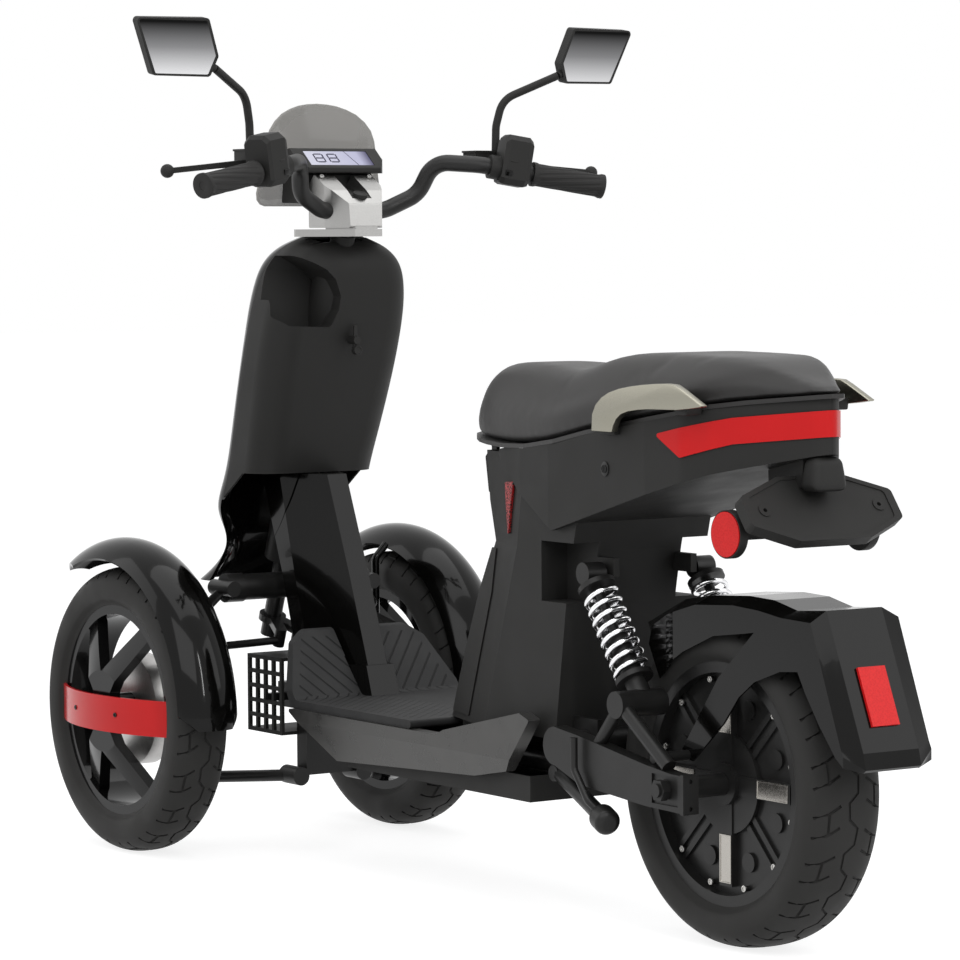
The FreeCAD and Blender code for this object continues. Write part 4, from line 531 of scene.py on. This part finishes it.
def finished(piece, body, slot, *replaced, finish=None):
    """Give a piece its finish, the slot's unless one is given, the body it rides on, and hide the nodes that it
    replaces.
    """
    piece.data.materials.clear()
    piece.data.materials.append(finish or FINISHES[slot])
    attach(piece, body)
    if replaced:
        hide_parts(*replaced)


def finished_pair(piece, body, slot, *replaced):
    """Finish a left piece, and its mirror image as the right one."""
    finished(piece, body, slot, *replaced)
    right = mirror_copy(piece, piece.name.replace("left", "right"))
    finished(right, body.replace("left", "right"), slot)


def rod_piece(name, radius, length, sides=32):
    """A cylinder that stands on the origin along Z."""
    return settle(fresh(name, bpy.ops.mesh.primitive_cylinder_add, vertices=sides, radius=radius * MM,
                        depth=length * MM, location=(0, 0, length * MM / 2)))


def box_piece(name, size, foot=0.0):
    """A box centred on the origin in X and Y, standing on a height."""
    piece = fresh(name, bpy.ops.mesh.primitive_cube_add, size=1, location=(0, 0, (foot + size[2] / 2) * MM))
    piece.scale = [side * MM for side in size]
    return settle(piece)


def faces_up(face):
    return face.normal.z > facing


def top_face(height):
    return lambda face: faces_up(face) and face.center.z > height * MM - height_error


def dish(piece, height, margin, depth):
    """Inset the top face and push it down."""
    edit(piece, top_face(height))
    bpy.ops.mesh.inset(thickness=margin * MM)
    bpy.ops.mesh.extrude_region_move(TRANSFORM_OT_translate={"value": (0, 0, -depth * MM)})
    done()


def tapered(piece, share_x, share_y):
    """Narrow the top of a piece to shares of its width."""
    edit(piece, faces_up)
    bpy.ops.transform.resize(value=(share_x, share_y, 1))
    done()


# Tyres: lengths in millimetres, places along the tread in pitches and across it in half widths

rear_tyre_half_width = 59.6
rear_rim_half_width = 43
front_tyre_half_width = 45.6
front_rim_half_width = 30
tyre_squareness = 2.5
tyre_ring = 56
tyre_steps = 160
bead_radius = 153.0
bulge_radius = 183.0
flange_radius = 166.0
flange_ease = 0.45
seam_gap = 0.01
tyre_crease = 40

tread_pitches = 20
groove_radius = 2.3
groove_sink = 0.7
middle_sway = 0.13
middle_bends = ((0.06, 1), (0.38, 0.8), (0.56, -1), (0.88, -0.8))
tread_waist = 0.60
leg_starts = (0.10, 0.52)
leg_bends = ((0, 0.34), (0.14, tread_waist), (0.24, 0.90))
bridge_ends = (0.24, 0.66)
tread_sides = ((1, 0.0), (-1, 0.5))


def tread_surface(half_width, share, y):
    """A point on the tread: share of the turn, and millimetres from the middle."""
    crown = wheel_radius / MM - bulge_radius
    flat = (1 - abs(y / half_width) ** tyre_squareness) ** (1 / tyre_squareness)
    turn = 2 * math.pi * share
    reach = bulge_radius + crown * flat - groove_sink
    return Vector((reach * math.cos(turn), y, reach * math.sin(turn))) * MM


def grooves(half_width):
    """Round-bottomed cutters: the winding middle groove and an H on either side of each pitch."""
    curve = bpy.data.curves.new("tread cutters", "CURVE")
    curve.dimensions = "3D"
    curve.bevel_depth = groove_radius * MM
    curve.bevel_resolution = 1
    curve.use_fill_caps = True

    def line(points, closed=False):
        spline = curve.splines.new("POLY")
        spline.points.add(len(points) - 1)
        for point, (share, across) in zip(spline.points, points):
            place = tread_surface(half_width, share / tread_pitches, across * half_width)
            point.co = (*place, 1)
        spline.use_cyclic_u = closed

    line([(pitch + share, bend * middle_sway) for pitch in range(tread_pitches)
          for share, bend in middle_bends], closed=True)
    for pitch in range(tread_pitches):
        for side, shift in tread_sides:
            start = pitch + shift
            for leg in leg_starts:
                line([(start + leg + lag, side * across) for lag, across in leg_bends])
            line([(start + end, side * tread_waist) for end in bridge_ends])
    cutter = bpy.data.objects.new("tread cutters", curve)
    bpy.context.scene.collection.objects.link(cutter)
    activate(cutter)
    bpy.ops.object.convert(target="MESH")
    return bpy.context.object


def tyre(name, half_width, rim_half_width):
    """A ring spun about the axle, narrowed at the bead, with the tread cut into it."""
    ring = fresh(name, bpy.ops.mesh.primitive_circle_add, vertices=tyre_ring, radius=1)
    crown = wheel_radius / MM - bulge_radius
    bead = bulge_radius - bead_radius
    power = 2 / tyre_squareness
    for i, vertex in enumerate(ring.data.vertices):
        turn = 2 * math.pi * i / tyre_ring
        across, height = math.cos(turn), math.sin(turn)
        y = half_width * math.copysign(abs(across) ** power, across)
        reach = crown if height > 0 else bead
        radius = bulge_radius + reach * math.copysign(abs(height) ** power, height)
        if radius < flange_radius:
            narrow = (flange_radius - radius) / (flange_radius - bead_radius)
            limit = rim_half_width + (half_width - rim_half_width) * flange_ease * (1 - narrow)
            y = max(-limit, min(limit, y))
        vertex.co = Vector((radius, y, 0)) * MM
    edit(ring)
    bpy.ops.mesh.spin(steps=tyre_steps, angle=2 * math.pi, center=(0, 0, 0), axis=(0, 1, 0))
    bpy.ops.mesh.select_all(action="SELECT")
    bpy.ops.mesh.remove_doubles(threshold=seam_gap * MM)
    done()
    outward(ring)
    cutter = grooves(half_width)
    modified(ring, "BOOLEAN", object=cutter, operation="DIFFERENCE", solver="EXACT", use_self=True)
    bpy.data.objects.remove(cutter)
    return smoothed(ring, tyre_crease)


def tyres():
    rear = tyre("rear_tyre", rear_tyre_half_width, rear_rim_half_width)
    finished(settle(rear, Matrix.Translation(rear_axle)), "wheel_rear", "tyre", "tyre_rear")
    left = tyre("front_tyre_left", front_tyre_half_width, front_rim_half_width)
    right = copied(left, "front_tyre_right")
    for piece, side in ((left, "left"), (right, "right")):
        low, high = corners(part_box("tyre_front_" + side))
        settle(piece, Matrix.Translation((low + high) / 2))
        finished(piece, "wheel_front_" + side, "tyre", "tyre_front_" + side)


# Seat

seat_weld = 0.02
seat_voxel = 5.0
seat_slack = 1.5
seat_cap = 3.5
seat_frames = 20
seat_underside = -0.5
seat_smoothing = 0.5
seat_crease = 60


def puffed(piece):
    """Blow the pad up as cloth under pressure, and keep each point near where it was."""
    before = [vertex.co.copy() for vertex in piece.data.vertices]
    normals = [vertex.normal.copy() for vertex in piece.data.vertices]
    cloth = piece.modifiers.new("cloth", "CLOTH")
    cloth.settings.quality = 5
    cloth.settings.mass = 0.3
    cloth.settings.use_pressure = True
    cloth.settings.uniform_pressure_force = 4
    cloth.settings.effector_weights.gravity = 0
    cloth.point_cache.frame_start, cloth.point_cache.frame_end = 1, seat_frames
    scene = bpy.context.scene
    for number in range(1, seat_frames + 1):
        scene.frame_set(number)
    grown = piece.evaluated_get(bpy.context.evaluated_depsgraph_get())
    after = [vertex.co.copy() for vertex in grown.data.vertices]
    piece.modifiers.remove(cloth)
    scene.frame_set(1)
    for vertex, old, new, normal in zip(piece.data.vertices, before, after, normals):
        move = new - old
        if normal.z < seat_underside:
            move *= 0
        elif move.length > seat_cap * MM:
            move *= seat_cap * MM / move.length
        vertex.co = old + move


def seat_pad():
    """The long two-humped cushion, remeshed from its plain solid and puffed."""
    pad = copied(frame["nodes"]["seat_cushion"], "seat_pad")
    pad.hide_render = False
    pad.hide_set(False)
    pad.parent = None
    edit(pad)
    bpy.ops.mesh.remove_doubles(threshold=seat_weld * MM)
    done()
    modified(pad, "REMESH", mode="VOXEL", voxel_size=seat_voxel * MM, use_smooth_shade=True)
    modified(pad, "SMOOTH", factor=seat_smoothing, iterations=4)
    modified(pad, "DISPLACE", strength=-seat_slack * MM, mid_level=0)
    puffed(pad)
    modified(pad, "SMOOTH", factor=seat_smoothing, iterations=9)
    modified(pad, "SUBSURF", levels=1, render_levels=1)
    smoothed(pad, seat_crease)
    finished(pad, "seat", "seat_vinyl", "seat_cushion")


# Handlebar details

bar_end = at(809, 344, 1009)
bar_knee = at(866, 166, 1041)
bar_line = (bar_end - bar_knee).normalized()
grip_radius = 16.2
grip_length = 114.0
grip_overhang = 6
grip_ribs = 12
grip_facets = 8
grip_cuts = 23
long_edge = 0.9
grip_twist = 75
grip_end_margin = 12
grip_end_sink = 0.8
flange_length = 9
flange_rise = 0.14
rib_share = 0.62
rib_rise = 0.055

# name, slot, distance in from the bar's end, size, turn about the bar, reach from its middle
bar_buttons = (
    ("light_rocker_left", "grip_rubber", 132, (15, 16, 4), 52, 21.0),
    ("turn_slider_left", "gloss_black", 150, (9, 11, 5), 76, 21.5),
    ("horn_button_left", "matte_black", 144, (12, 12, 5), 128, 22.5))
button_bevel = 1.2


def grip():
    """Sleeve with slanted raised ribs, a double flange at the switch and a wider end."""
    piece = rod_piece("grip_left", grip_radius, grip_length, grip_ribs * grip_facets)
    edit(piece, lambda a, b: abs(a.z - b.z) > long_edge * grip_length * MM, "EDGE")
    bpy.ops.mesh.subdivide(number_cuts=grip_cuts)
    done()
    for vertex in piece.data.vertices:
        turn = math.atan2(vertex.co.y, vertex.co.x) / (2 * math.pi) * grip_ribs
        between = flange_length * MM < vertex.co.z < (grip_length - flange_length) * MM
        rise = flange_rise
        if between:
            rise = rib_rise if turn % 1 < rib_share else 0
        vertex.co.x *= 1 + rise
        vertex.co.y *= 1 + rise
    modified(piece, "SIMPLE_DEFORM", deform_method="TWIST", deform_axis="Z", angle=math.radians(grip_twist))
    dish(piece, grip_length, grip_end_margin, grip_end_sink)
    softened(piece, 0.35)
    settle(piece, aimed(bar_end - bar_line * (grip_length - grip_overhang) * MM, bar_line))
    finished_pair(piece, "steering", "grip_rubber", "grips")


def bar_controls():
    """Rocker, slider and horn button on either switch box."""
    onto_side = Matrix.Rotation(math.radians(90), 4, "X")
    for name, slot, along, size, turn, reach in bar_buttons:
        piece = softened(box_piece(name, size, reach), button_bevel, 3)
        about = Matrix.Rotation(math.radians(turn), 4, "Z")
        settle(piece, aimed(bar_end - bar_line * along * MM, bar_line) @ about @ onto_side)
        finished_pair(piece, "steering", slot)


# Instrument: places on the glass are millimetres left and up from its middle

screen_top = at(1018, 0, 1068)
screen_foot = at(982, 0, 1038)
glass_size = (111, 33, 0.8)
glass_sink = 1.2
ink_foot = 0.85
ink_thickness = 0.3
digit_middles = (-34.0, -10.0)
# place across, place up, turn and length of each stroke
digit_strokes = ([(0, level, 0, 12.5) for level in (-9.2, 0, 9.2)]
                 + [(side, level, 90, 8.0) for side in (-7.6, 7.6) for level in (-4.6, 4.6)])
stroke_width = 3.8
stroke_taper = 0.55
divider_place = 28
divider_width = 0.7
divider_length = 32
divider_slant = 12


def instrument():
    """Pale glass with two plain digits and a slanted divider."""
    slope = screen_top - screen_foot
    outwards = Vector((-slope.z, 0, slope.x)).normalized()
    place = aimed((screen_top + screen_foot) / 2 - outwards * glass_sink * MM, outwards, slope)
    glass = softened(settle(box_piece("screen_glass", glass_size), place), 0.2, 1)
    finished(glass, "steering", "smoked_visor", finish=LIT_SCREEN)
    for number, middle in enumerate(digit_middles):
        for stroke, (across, level, turn, length) in enumerate(digit_strokes):
            piece = box_piece("digit_%d_%d" % (number, stroke), (length, stroke_width, ink_thickness), ink_foot)
            edit(piece, lambda face: abs(face.normal.x) > facing)
            bpy.ops.transform.resize(value=(1, stroke_taper, 1))
            done()
            settle(piece, place @ Matrix.Translation(Vector((middle + across, level, 0)) * MM)
                   @ Matrix.Rotation(math.radians(turn), 4, "Z"))
            finished(piece, "steering", "smoked_visor", finish=SCREEN_INK)
    divider = box_piece("screen_divider", (divider_width, divider_length, ink_thickness), ink_foot)
    edit(divider, lambda face: face.normal.y > facing)
    bpy.ops.transform.translate(value=(-divider_slant * MM, 0, 0))
    done()
    settle(divider, place @ Matrix.Translation(Vector((divider_place, 0, 0)) * MM))
    finished(divider, "steering", "smoked_visor", finish=SCREEN_INK)


# Fastenings and locks

screw_radius = 5.0
screw_height = 4.0
socket_margin = 2.4
socket_depth = 2.4
screw_upright = Vector((0, 0.3, 1))
clamp_slope = Vector((-0.62, 0, 0.78))

# place, direction, size against the first, body, slot
screws = (
    (at(982, 42, 1024), clamp_slope, 0.72, "steering", "clamp_silver"),
    (at(948, 33, 997), clamp_slope, 0.72, "steering", "clamp_silver"),
    (at(1110, 100, 592), Vector((-0.35, 0.93, 0)), 1.25, "chassis", "black_steel"),
    (at(1278.5, 306.6, 218), Vector((0.17, 0.98, 0)), 0.7, "wheel_front_left", "black_steel"),
    (at(1155.5, 306.6, 218), Vector((-0.17, 0.98, 0)), 0.7, "wheel_front_left", "black_steel"))

cap_place = at(943, 0, 992)
cap_direction = Vector((-0.35, 0, 0.94))
cap_radius = 11.0
cap_height = 8.0
cap_rim = 3.0
cap_sink = 0.8

lock_place = at(147, 124.4, 627)
lock_plate_radius = 10.0
lock_plate_thickness = 2.0
lock_plate_squeeze = 0.82
lock_core_radius = 5.6
lock_core_height = 3.2
lock_core_rim = 1.0
lock_core_sink = 0.6
slit_size = (1.4, 7.0, 3.0)
slit_foot = 1.5


def fastenings():
    """Round socket screws: on the clamp, the side panels and the wheel bands."""
    head = rod_piece("cap screw", screw_radius, screw_height, 24)
    dish(head, screw_height, socket_margin, socket_depth)
    softened(head, 0.5)
    for number, (place, direction, size, body, slot) in enumerate(screws):
        piece = copied(head, "socket_screw_%d_left" % number)
        settle(piece, aimed(place, direction, screw_upright) @ Matrix.Diagonal((size, size, size, 1)))
        finished_pair(piece, body, slot)
    bpy.data.objects.remove(head)


def ignition_cap():
    """Round rubber cap over the ignition lock, between the clamp's arms."""
    cap = rod_piece("ignition_cap", cap_radius, cap_height, 40)
    dish(cap, cap_height, cap_rim, cap_sink)
    softened(cap, 1.2, 3)
    finished(settle(cap, aimed(cap_place, cap_direction, leftwards)), "steering", "matte_black")


def seat_lock():
    """Slotted lock on the tail's left side."""
    onto_side = aimed(lock_place, leftwards)
    plate = softened(rod_piece("seat_lock", lock_plate_radius, lock_plate_thickness, 40), 0.6)
    settle(plate, onto_side @ Matrix.Diagonal((lock_plate_squeeze, 1, 1, 1)))
    finished(plate, "chassis", "black_steel")
    core = rod_piece("seat_lock_core", lock_core_radius, lock_core_height)
    dish(core, lock_core_height, lock_core_rim, lock_core_sink)
    slit = box_piece("slit", slit_size, slit_foot)
    modified(core, "BOOLEAN", object=slit, operation="DIFFERENCE", solver="EXACT")
    bpy.data.objects.remove(slit)
    finished(settle(softened(core, 0.2, 1), onto_side), "chassis", "gloss_black")


# Lamps and reflectors

housing_radius = 31.2
housing_length = 13.0
housing_wall = 1.6
housing_depth = 12.0
housing_reach = 14.0
dome_growth = (1.3, 1.45, 1.12)
dome_taper = (0.74, 0.80)
dome_round = 11
dome_crease = 60


def reflector_housings():
    """Black cups behind the two round reflectors."""
    low, high = corners(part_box("round_reflectors"))
    middle = (low + high) / 2
    cup = rod_piece("reflector_housing_left", housing_radius, housing_length, 64)
    dish(cup, housing_length, housing_wall, housing_depth)
    softened(cup, 0.6)
    settle(cup, aimed(Vector((middle.x, high.y - housing_reach * MM, middle.z)), leftwards))
    finished_pair(cup, "chassis", "matte_black")


def lamp_dome():
    """Rounded square cover over the plate lamp."""
    low, high = corners(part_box("lamp_cup"))
    middle, size = (low + high) / 2, (high - low) / MM
    dome = box_piece("plate_lamp_cover", [side * growth for side, growth in zip(size, dome_growth)])
    tapered(dome, *dome_taper)
    modified(dome, "BEVEL", width=dome_round * MM, segments=6, limit_method="NONE")
    modified(dome, "SUBSURF", levels=1, render_levels=1)
    smoothed(dome, dome_crease)
    settle(dome, Matrix.Translation((middle.x, middle.y, low.z)))
    finished(dome, "chassis", "matte_black", "lamp_cup")


# Rear motor details

motor_cover_y = 30.0
bolt_circle = 139.0
bolt_count = 12
bolt_radius = 4.6
bolt_height = 3.0
bolt_margin = 1.7
bolt_depth = 1.6
bolt_rise = 4.8
spoke_count = 4
spoke_circle = 99
spoke_face = (24.0, 64.0, 1.4)
spoke_margin = 1.5
spoke_depth = 1.0
spoke_rise = 8.9


def motor_trim():
    """Bright bolt heads round the motor covers, and machined faces on its cast spokes."""
    head = rod_piece("cover bolt", bolt_radius, bolt_height, 20)
    dish(head, bolt_height, bolt_margin, bolt_depth)
    softened(head, 0.5)
    face = box_piece("spoke face", spoke_face)
    dish(face, spoke_face[2], spoke_margin, spoke_depth)
    softened(face, 0.2, 1)
    bright = brushed_metal("machined spoke metal", (0.42, 0.40, 0.37), 0.22, (14, 14, 1))
    bolt_zinc = brushed_metal("zinc bolt heads", (0.55, 0.54, 0.52), 0.26, (1, 1, 1))

    def radial(turns):
        return Vector((math.cos(2 * math.pi * turns), 0, math.sin(2 * math.pi * turns)))

    for side, word in ((1, "left"), (-1, "right")):
        outwards = Vector((0, side, 0))
        for number in range(bolt_count):
            ray = radial((number + 0.5) / bolt_count)
            place = rear_axle + ray * bolt_circle * MM + outwards * (motor_cover_y + bolt_rise) * MM
            piece = settle(copied(head, "motor_bolt_%s_%d" % (word, number)), aimed(place, outwards))
            finished(piece, "wheel_rear", "clamp_silver", finish=bolt_zinc)
        for number in range(spoke_count):
            ray = radial(number / spoke_count)
            place = rear_axle + ray * spoke_circle * MM + outwards * (motor_cover_y + spoke_rise) * MM
            piece = settle(copied(face, "spoke_face_%s_%d" % (word, number)), aimed(place, outwards, ray))
            finished(piece, "wheel_rear", "clamp_silver", finish=bright)
    bpy.data.objects.remove(head)
    bpy.data.objects.remove(face)


# Grab rails

rail_outline = (
    (153.5, 677.5), (152.0, 700.0), (144.0, 713.0), (131.0, 722.5), (115.0, 729.5), (93.0, 735.0),
    (70.0, 738.5), (42.0, 741.5), (14.0, 743.5), (-10.0, 744.5), (-28.0, 743.5), (-42.0, 738.0),
    (-86.0, 718.0), (-84.0, 716.5), (-60.0, 713.5), (-32.0, 711.0), (0.0, 710.5), (30.0, 710.0),
    (52.0, 708.5), (72.0, 706.0), (88.0, 702.0), (99.0, 695.0), (106.0, 686.0), (109.0, 677.5))
rail_foot_outline = ((148.0, 694.0), (113.0, 694.0), (115.0, 673.0), (146.0, 673.0))
rail_stay_outline = ((-44.0, 720.0), (-16.0, 720.0), (-18.0, 704.0), (-42.0, 704.0))

# name, outline, distances of its two faces from the middle, bevel, slot, nodes replaced
rail_pieces = (
    ("grab_rail", rail_outline, 132.0, 143.0, 2.6, "champagne", ("grab_rails",)),
    ("rail_foot", rail_foot_outline, 124.4, 134.0, 2.0, "matte_black", ()),
    ("rail_stay", rail_stay_outline, 108.0, 134.0, 2.0, "matte_black", ()))


def side_panel(name, outline, y0, y1):
    """An outline of (x, z) pairs made a panel between two distances from the middle."""
    panel = fresh(name, bpy.ops.mesh.primitive_circle_add, vertices=len(outline), radius=1, fill_type="NGON")
    for vertex, (x, z) in zip(panel.data.vertices, outline):
        vertex.co = at(x, y0, z)
    edit(panel)
    bpy.ops.mesh.extrude_region_move(TRANSFORM_OT_translate={"value": (0, (y1 - y0) * MM, 0)})
    done()
    return outward(panel)


def grab_rails():
    """Broad satin rail on either side: an arched band on a dark foot and stay."""
    for name, outline, y0, y1, bevel, slot, replaced in rail_pieces:
        piece = softened(side_panel(name + "_left", outline, y0, y1), bevel, 3)
        finished_pair(piece, "chassis", slot, *replaced)


# Visor: its edge in (y, z) pairs

visor_middle_z = 1062.0
visor_half_edge = (
    (0, 1136), (18, 1135), (34, 1132.5), (50, 1127.5), (66, 1120), (80, 1108.5), (90, 1095.5), (96, 1080),
    (99.5, 1062), (103, 1040), (107, 1018), (110.5, 1000), (108, 990), (100, 983.5), (90, 981), (60, 981),
    (30, 981), (0, 981))
visor_edge = visor_half_edge + tuple((-y, z) for y, z in visor_half_edge[-2:0:-1])
visor_radius = 250.0
visor_lean = 0.16
visor_foot = 1239.6
visor_thickness = 3
visor_rings = 14
visor_ring_share = 0.9
visor_sides = 4 * len(visor_edge)
post_radius = 6.0
post_length = 30.0
post_reach = 30.5
post_place = (45, 1005)


def visor_point(y, z):
    """A point on the leaning cylinder that the sheet is bent to."""
    slope = math.hypot(1, visor_lean)
    bend = slope * math.sqrt(visor_radius ** 2 - y ** 2)
    return at(visor_foot - visor_radius - visor_lean * z + bend, y, z)


def visor_sheet():
    """Smoked sheet with a domed top, bent to a cylinder, on two posts from the lamp."""
    sheet = fresh("visor_sheet", bpy.ops.mesh.primitive_circle_add, vertices=visor_sides, radius=1,
                  fill_type="NGON")
    edit(sheet)
    for _ in range(1, visor_rings):
        bpy.ops.mesh.inset(thickness=visor_ring_share / visor_rings)
    done()
    for vertex in sheet.data.vertices:
        share = math.hypot(vertex.co.x, vertex.co.y)
        step = (math.atan2(vertex.co.x, vertex.co.y) / (2 * math.pi) % 1) * len(visor_edge)
        y0, z0 = visor_edge[int(step) % len(visor_edge)]
        y1, z1 = visor_edge[(int(step) + 1) % len(visor_edge)]
        y, z = y0 + (y1 - y0) * (step % 1), z0 + (z1 - z0) * (step % 1)
        vertex.co = visor_point(share * y, visor_middle_z + share * (z - visor_middle_z))
    modified(sheet, "SOLIDIFY", thickness=visor_thickness * MM, offset=0)
    outward(sheet)
    softened(sheet, 0.8)
    finished(sheet, "steering", "smoked_visor", "visor")
    post = softened(rod_piece("visor_post_left", post_radius, post_length, 24), 1.0)
    settle(post, aimed(visor_point(*post_place) - Vector((post_reach * MM, 0, 0)), Vector((1, 0, 0))))
    finished_pair(post, "steering", "matte_black")


# Steering collar

collar_foot = at(1006.4, 0, 889.0)
collar_radius = 18.4
collar_length = 53.0
collar_margin = 2
steering_rake = math.radians(20)


def steering_collar():
    """Black boot round the stem, from the clamp's base down into the leg panel."""
    boot = rod_piece("steering_collar", collar_radius, collar_length, 48)
    edit(boot, faces_up)
    bpy.ops.mesh.inset(thickness=collar_margin * MM)
    done()
    softened(boot, 1.2)
    settle(boot, aimed(collar_foot, Vector((-math.sin(steering_rake), 0, math.cos(steering_rake)))))
    finished(boot, "steering", "matte_black")


# Bag hook

lever_size = (6.0, 8.0, 42.0)
lever_foot = at(976.5, -12, 760)
lever_taper = 0.7
knob_place = at(976.5, -12, 764)
knob_radius = 7.0
knob_length = 9.0
knob_margin = 2.0
knob_sink = 0.8


def hook_lever():
    """Upright tapered lever with a round knob at its lower end, on the hook's pin."""
    lever = box_piece("hook_lever", lever_size)
    tapered(lever, lever_taper, lever_taper)
    softened(lever, 1.4, 3)
    finished(settle(lever, Matrix.Translation(lever_foot)), "chassis", "matte_black")
    knob = rod_piece("hook_knob", knob_radius, knob_length)
    dish(knob, knob_length, knob_margin, knob_sink)
    softened(knob, 1.6, 3)
    finished(settle(knob, aimed(knob_place, Vector((-1, 0, 0)))), "chassis", "matte_black")


tyres()
seat_pad()
grip()
bar_controls()
instrument()
fastenings()
ignition_cap()
seat_lock()
reflector_housings()
lamp_dome()
motor_trim()
grab_rails()
visor_sheet()
steering_collar()
hook_lever()


# Studio

floor_size = 60
floor_seen = (0.40, 0.40, 0.40, 1)
floor_glow = 0.82
floor_bounce = (0.60, 0.60, 0.60, 1)
air_colour = (0.97, 0.98, 1.0, 1)
air_strength = 0.50
seeing_rays = ("Is Camera Ray", "Is Glossy Ray", "Is Transmission Ray")

# name, place, target, size, power
softboxes = (
    ("key softbox", (-2.6, 3.4, 3.4), (0, 0, 0.5), (4.0, 3.0), 72),
    ("side softbox", (2.8, 3.0, 2.6), (0.2, 0, 0.5), (3.0, 3.0), 30),
    ("rear softbox", (-3.6, -2.4, 2.8), (-0.2, 0, 0.5), (3.0, 3.0), 42),
    ("top softbox", (0.2, 0, 4.0), (0, 0, 0), (4.0, 3.0), 62),
    ("strip softbox", (-4.0, 1.0, 2.4), (0, 0, 0.5), (0.14, 2.4), 34))

camera_azimuth = math.radians(235.878)
camera_elevation = math.radians(3.465)
camera_roll = math.radians(-0.3435)
camera_place = (-4.79425, 3.288, 0.940)
sensor_width = 36.0
focal_pixels = 4090.23
picture_pixels = 960


def shader_node(tree, kind, **inputs):
    """A new node with its inputs set by name."""
    made = tree.nodes.new(kind)
    for key, value in inputs.items():
        made.inputs[key].default_value = value
    return made


def seeing(tree):
    """A factor that is 1 on rays that see, mirror or look through to the studio."""
    source = tree.nodes.new("ShaderNodeLightPath")
    factor = source.outputs[seeing_rays[0]]
    for ray in seeing_rays[1:]:
        either = tree.nodes.new("ShaderNodeMath")
        either.operation = "MAXIMUM"
        tree.links.new(factor, either.inputs[0])
        tree.links.new(source.outputs[ray], either.inputs[1])
        factor = either.outputs[0]
    return factor


def show(tree, out, light, seen):
    """Send one shader out on rays that light the object, and another on those that see."""
    choice = tree.nodes.new("ShaderNodeMixShader")
    tree.links.new(seeing(tree), choice.inputs["Fac"])
    tree.links.new(light.outputs[0], choice.inputs[1])
    tree.links.new(seen.outputs[0], choice.inputs[2])
    tree.links.new(choice.outputs[0], out.inputs["Surface"])


def stage():
    """A pale floor that shows white, with the object's faint shadow."""
    bpy.ops.object.select_all(action="DESELECT")
    bpy.ops.mesh.primitive_plane_add(size=floor_size, location=(0, 0, 0))
    floor = bpy.context.object
    floor.name = "studio_floor"
    paper = bpy.data.materials.new("pale studio floor")
    paper.use_nodes = True
    tree = paper.node_tree
    tree.nodes.clear()
    out = tree.nodes.new("ShaderNodeOutputMaterial")
    seen = shader_node(tree, "ShaderNodeBsdfDiffuse", Color=floor_seen)
    glow = shader_node(tree, "ShaderNodeEmission", Strength=floor_glow)
    lit = tree.nodes.new("ShaderNodeAddShader")
    tree.links.new(seen.outputs[0], lit.inputs[0])
    tree.links.new(glow.outputs[0], lit.inputs[1])
    show(tree, out, shader_node(tree, "ShaderNodeBsdfDiffuse", Color=floor_bounce), lit)
    floor.data.materials.append(paper)


def world_light():
    """White where it is seen, reflected or looked through, and dimmer as a light."""
    world = bpy.data.worlds.new("studio air")
    bpy.context.scene.world = world
    world.use_nodes = True
    tree = world.node_tree
    tree.nodes.clear()
    out = tree.nodes.new("ShaderNodeOutputWorld")
    dim = shader_node(tree, "ShaderNodeBackground", Color=air_colour, Strength=air_strength)
    white = shader_node(tree, "ShaderNodeBackground", Color=(1, 1, 1, 1))
    show(tree, out, dim, white)


def soft_lamp(name, place, target, size, power):
    lamp = bpy.data.lights.new(name, "AREA")
    lamp.shape = "RECTANGLE"
    lamp.size, lamp.size_y = size
    lamp.energy = power
    holder = bpy.data.objects.new(name, lamp)
    bpy.context.scene.collection.objects.link(holder)
    holder.location = place
    holder.rotation_euler = (Vector(target) - Vector(place)).to_track_quat("-Z", "Y").to_euler()


def camera():
    """The photograph's viewpoint."""
    level = math.cos(camera_elevation)
    back = Vector((math.sin(camera_azimuth) * level, -math.cos(camera_azimuth) * level,
                   math.sin(camera_elevation)))
    right = (-back).cross(up).normalized()
    over = right.cross(-back)
    rolled_right = right * math.cos(camera_roll) + over * math.sin(camera_roll)
    rolled_over = over * math.cos(camera_roll) - right * math.sin(camera_roll)
    turn = Matrix((rolled_right, rolled_over, back)).transposed().to_4x4()
    lens = bpy.data.cameras.new("photo camera")
    lens.sensor_width = sensor_width
    lens.lens = sensor_width * focal_pixels / picture_pixels
    lens.clip_end = 100
    eye = bpy.data.objects.new("photo camera", lens)
    bpy.context.scene.collection.objects.link(eye)
    eye.matrix_world = Matrix.Translation(camera_place) @ turn
    bpy.context.scene.camera = eye


stage()
world_light()
for softbox in softboxes:
    soft_lamp(*softbox)
camera()
bpy.context.scene.view_settings.view_transform = "Standard"
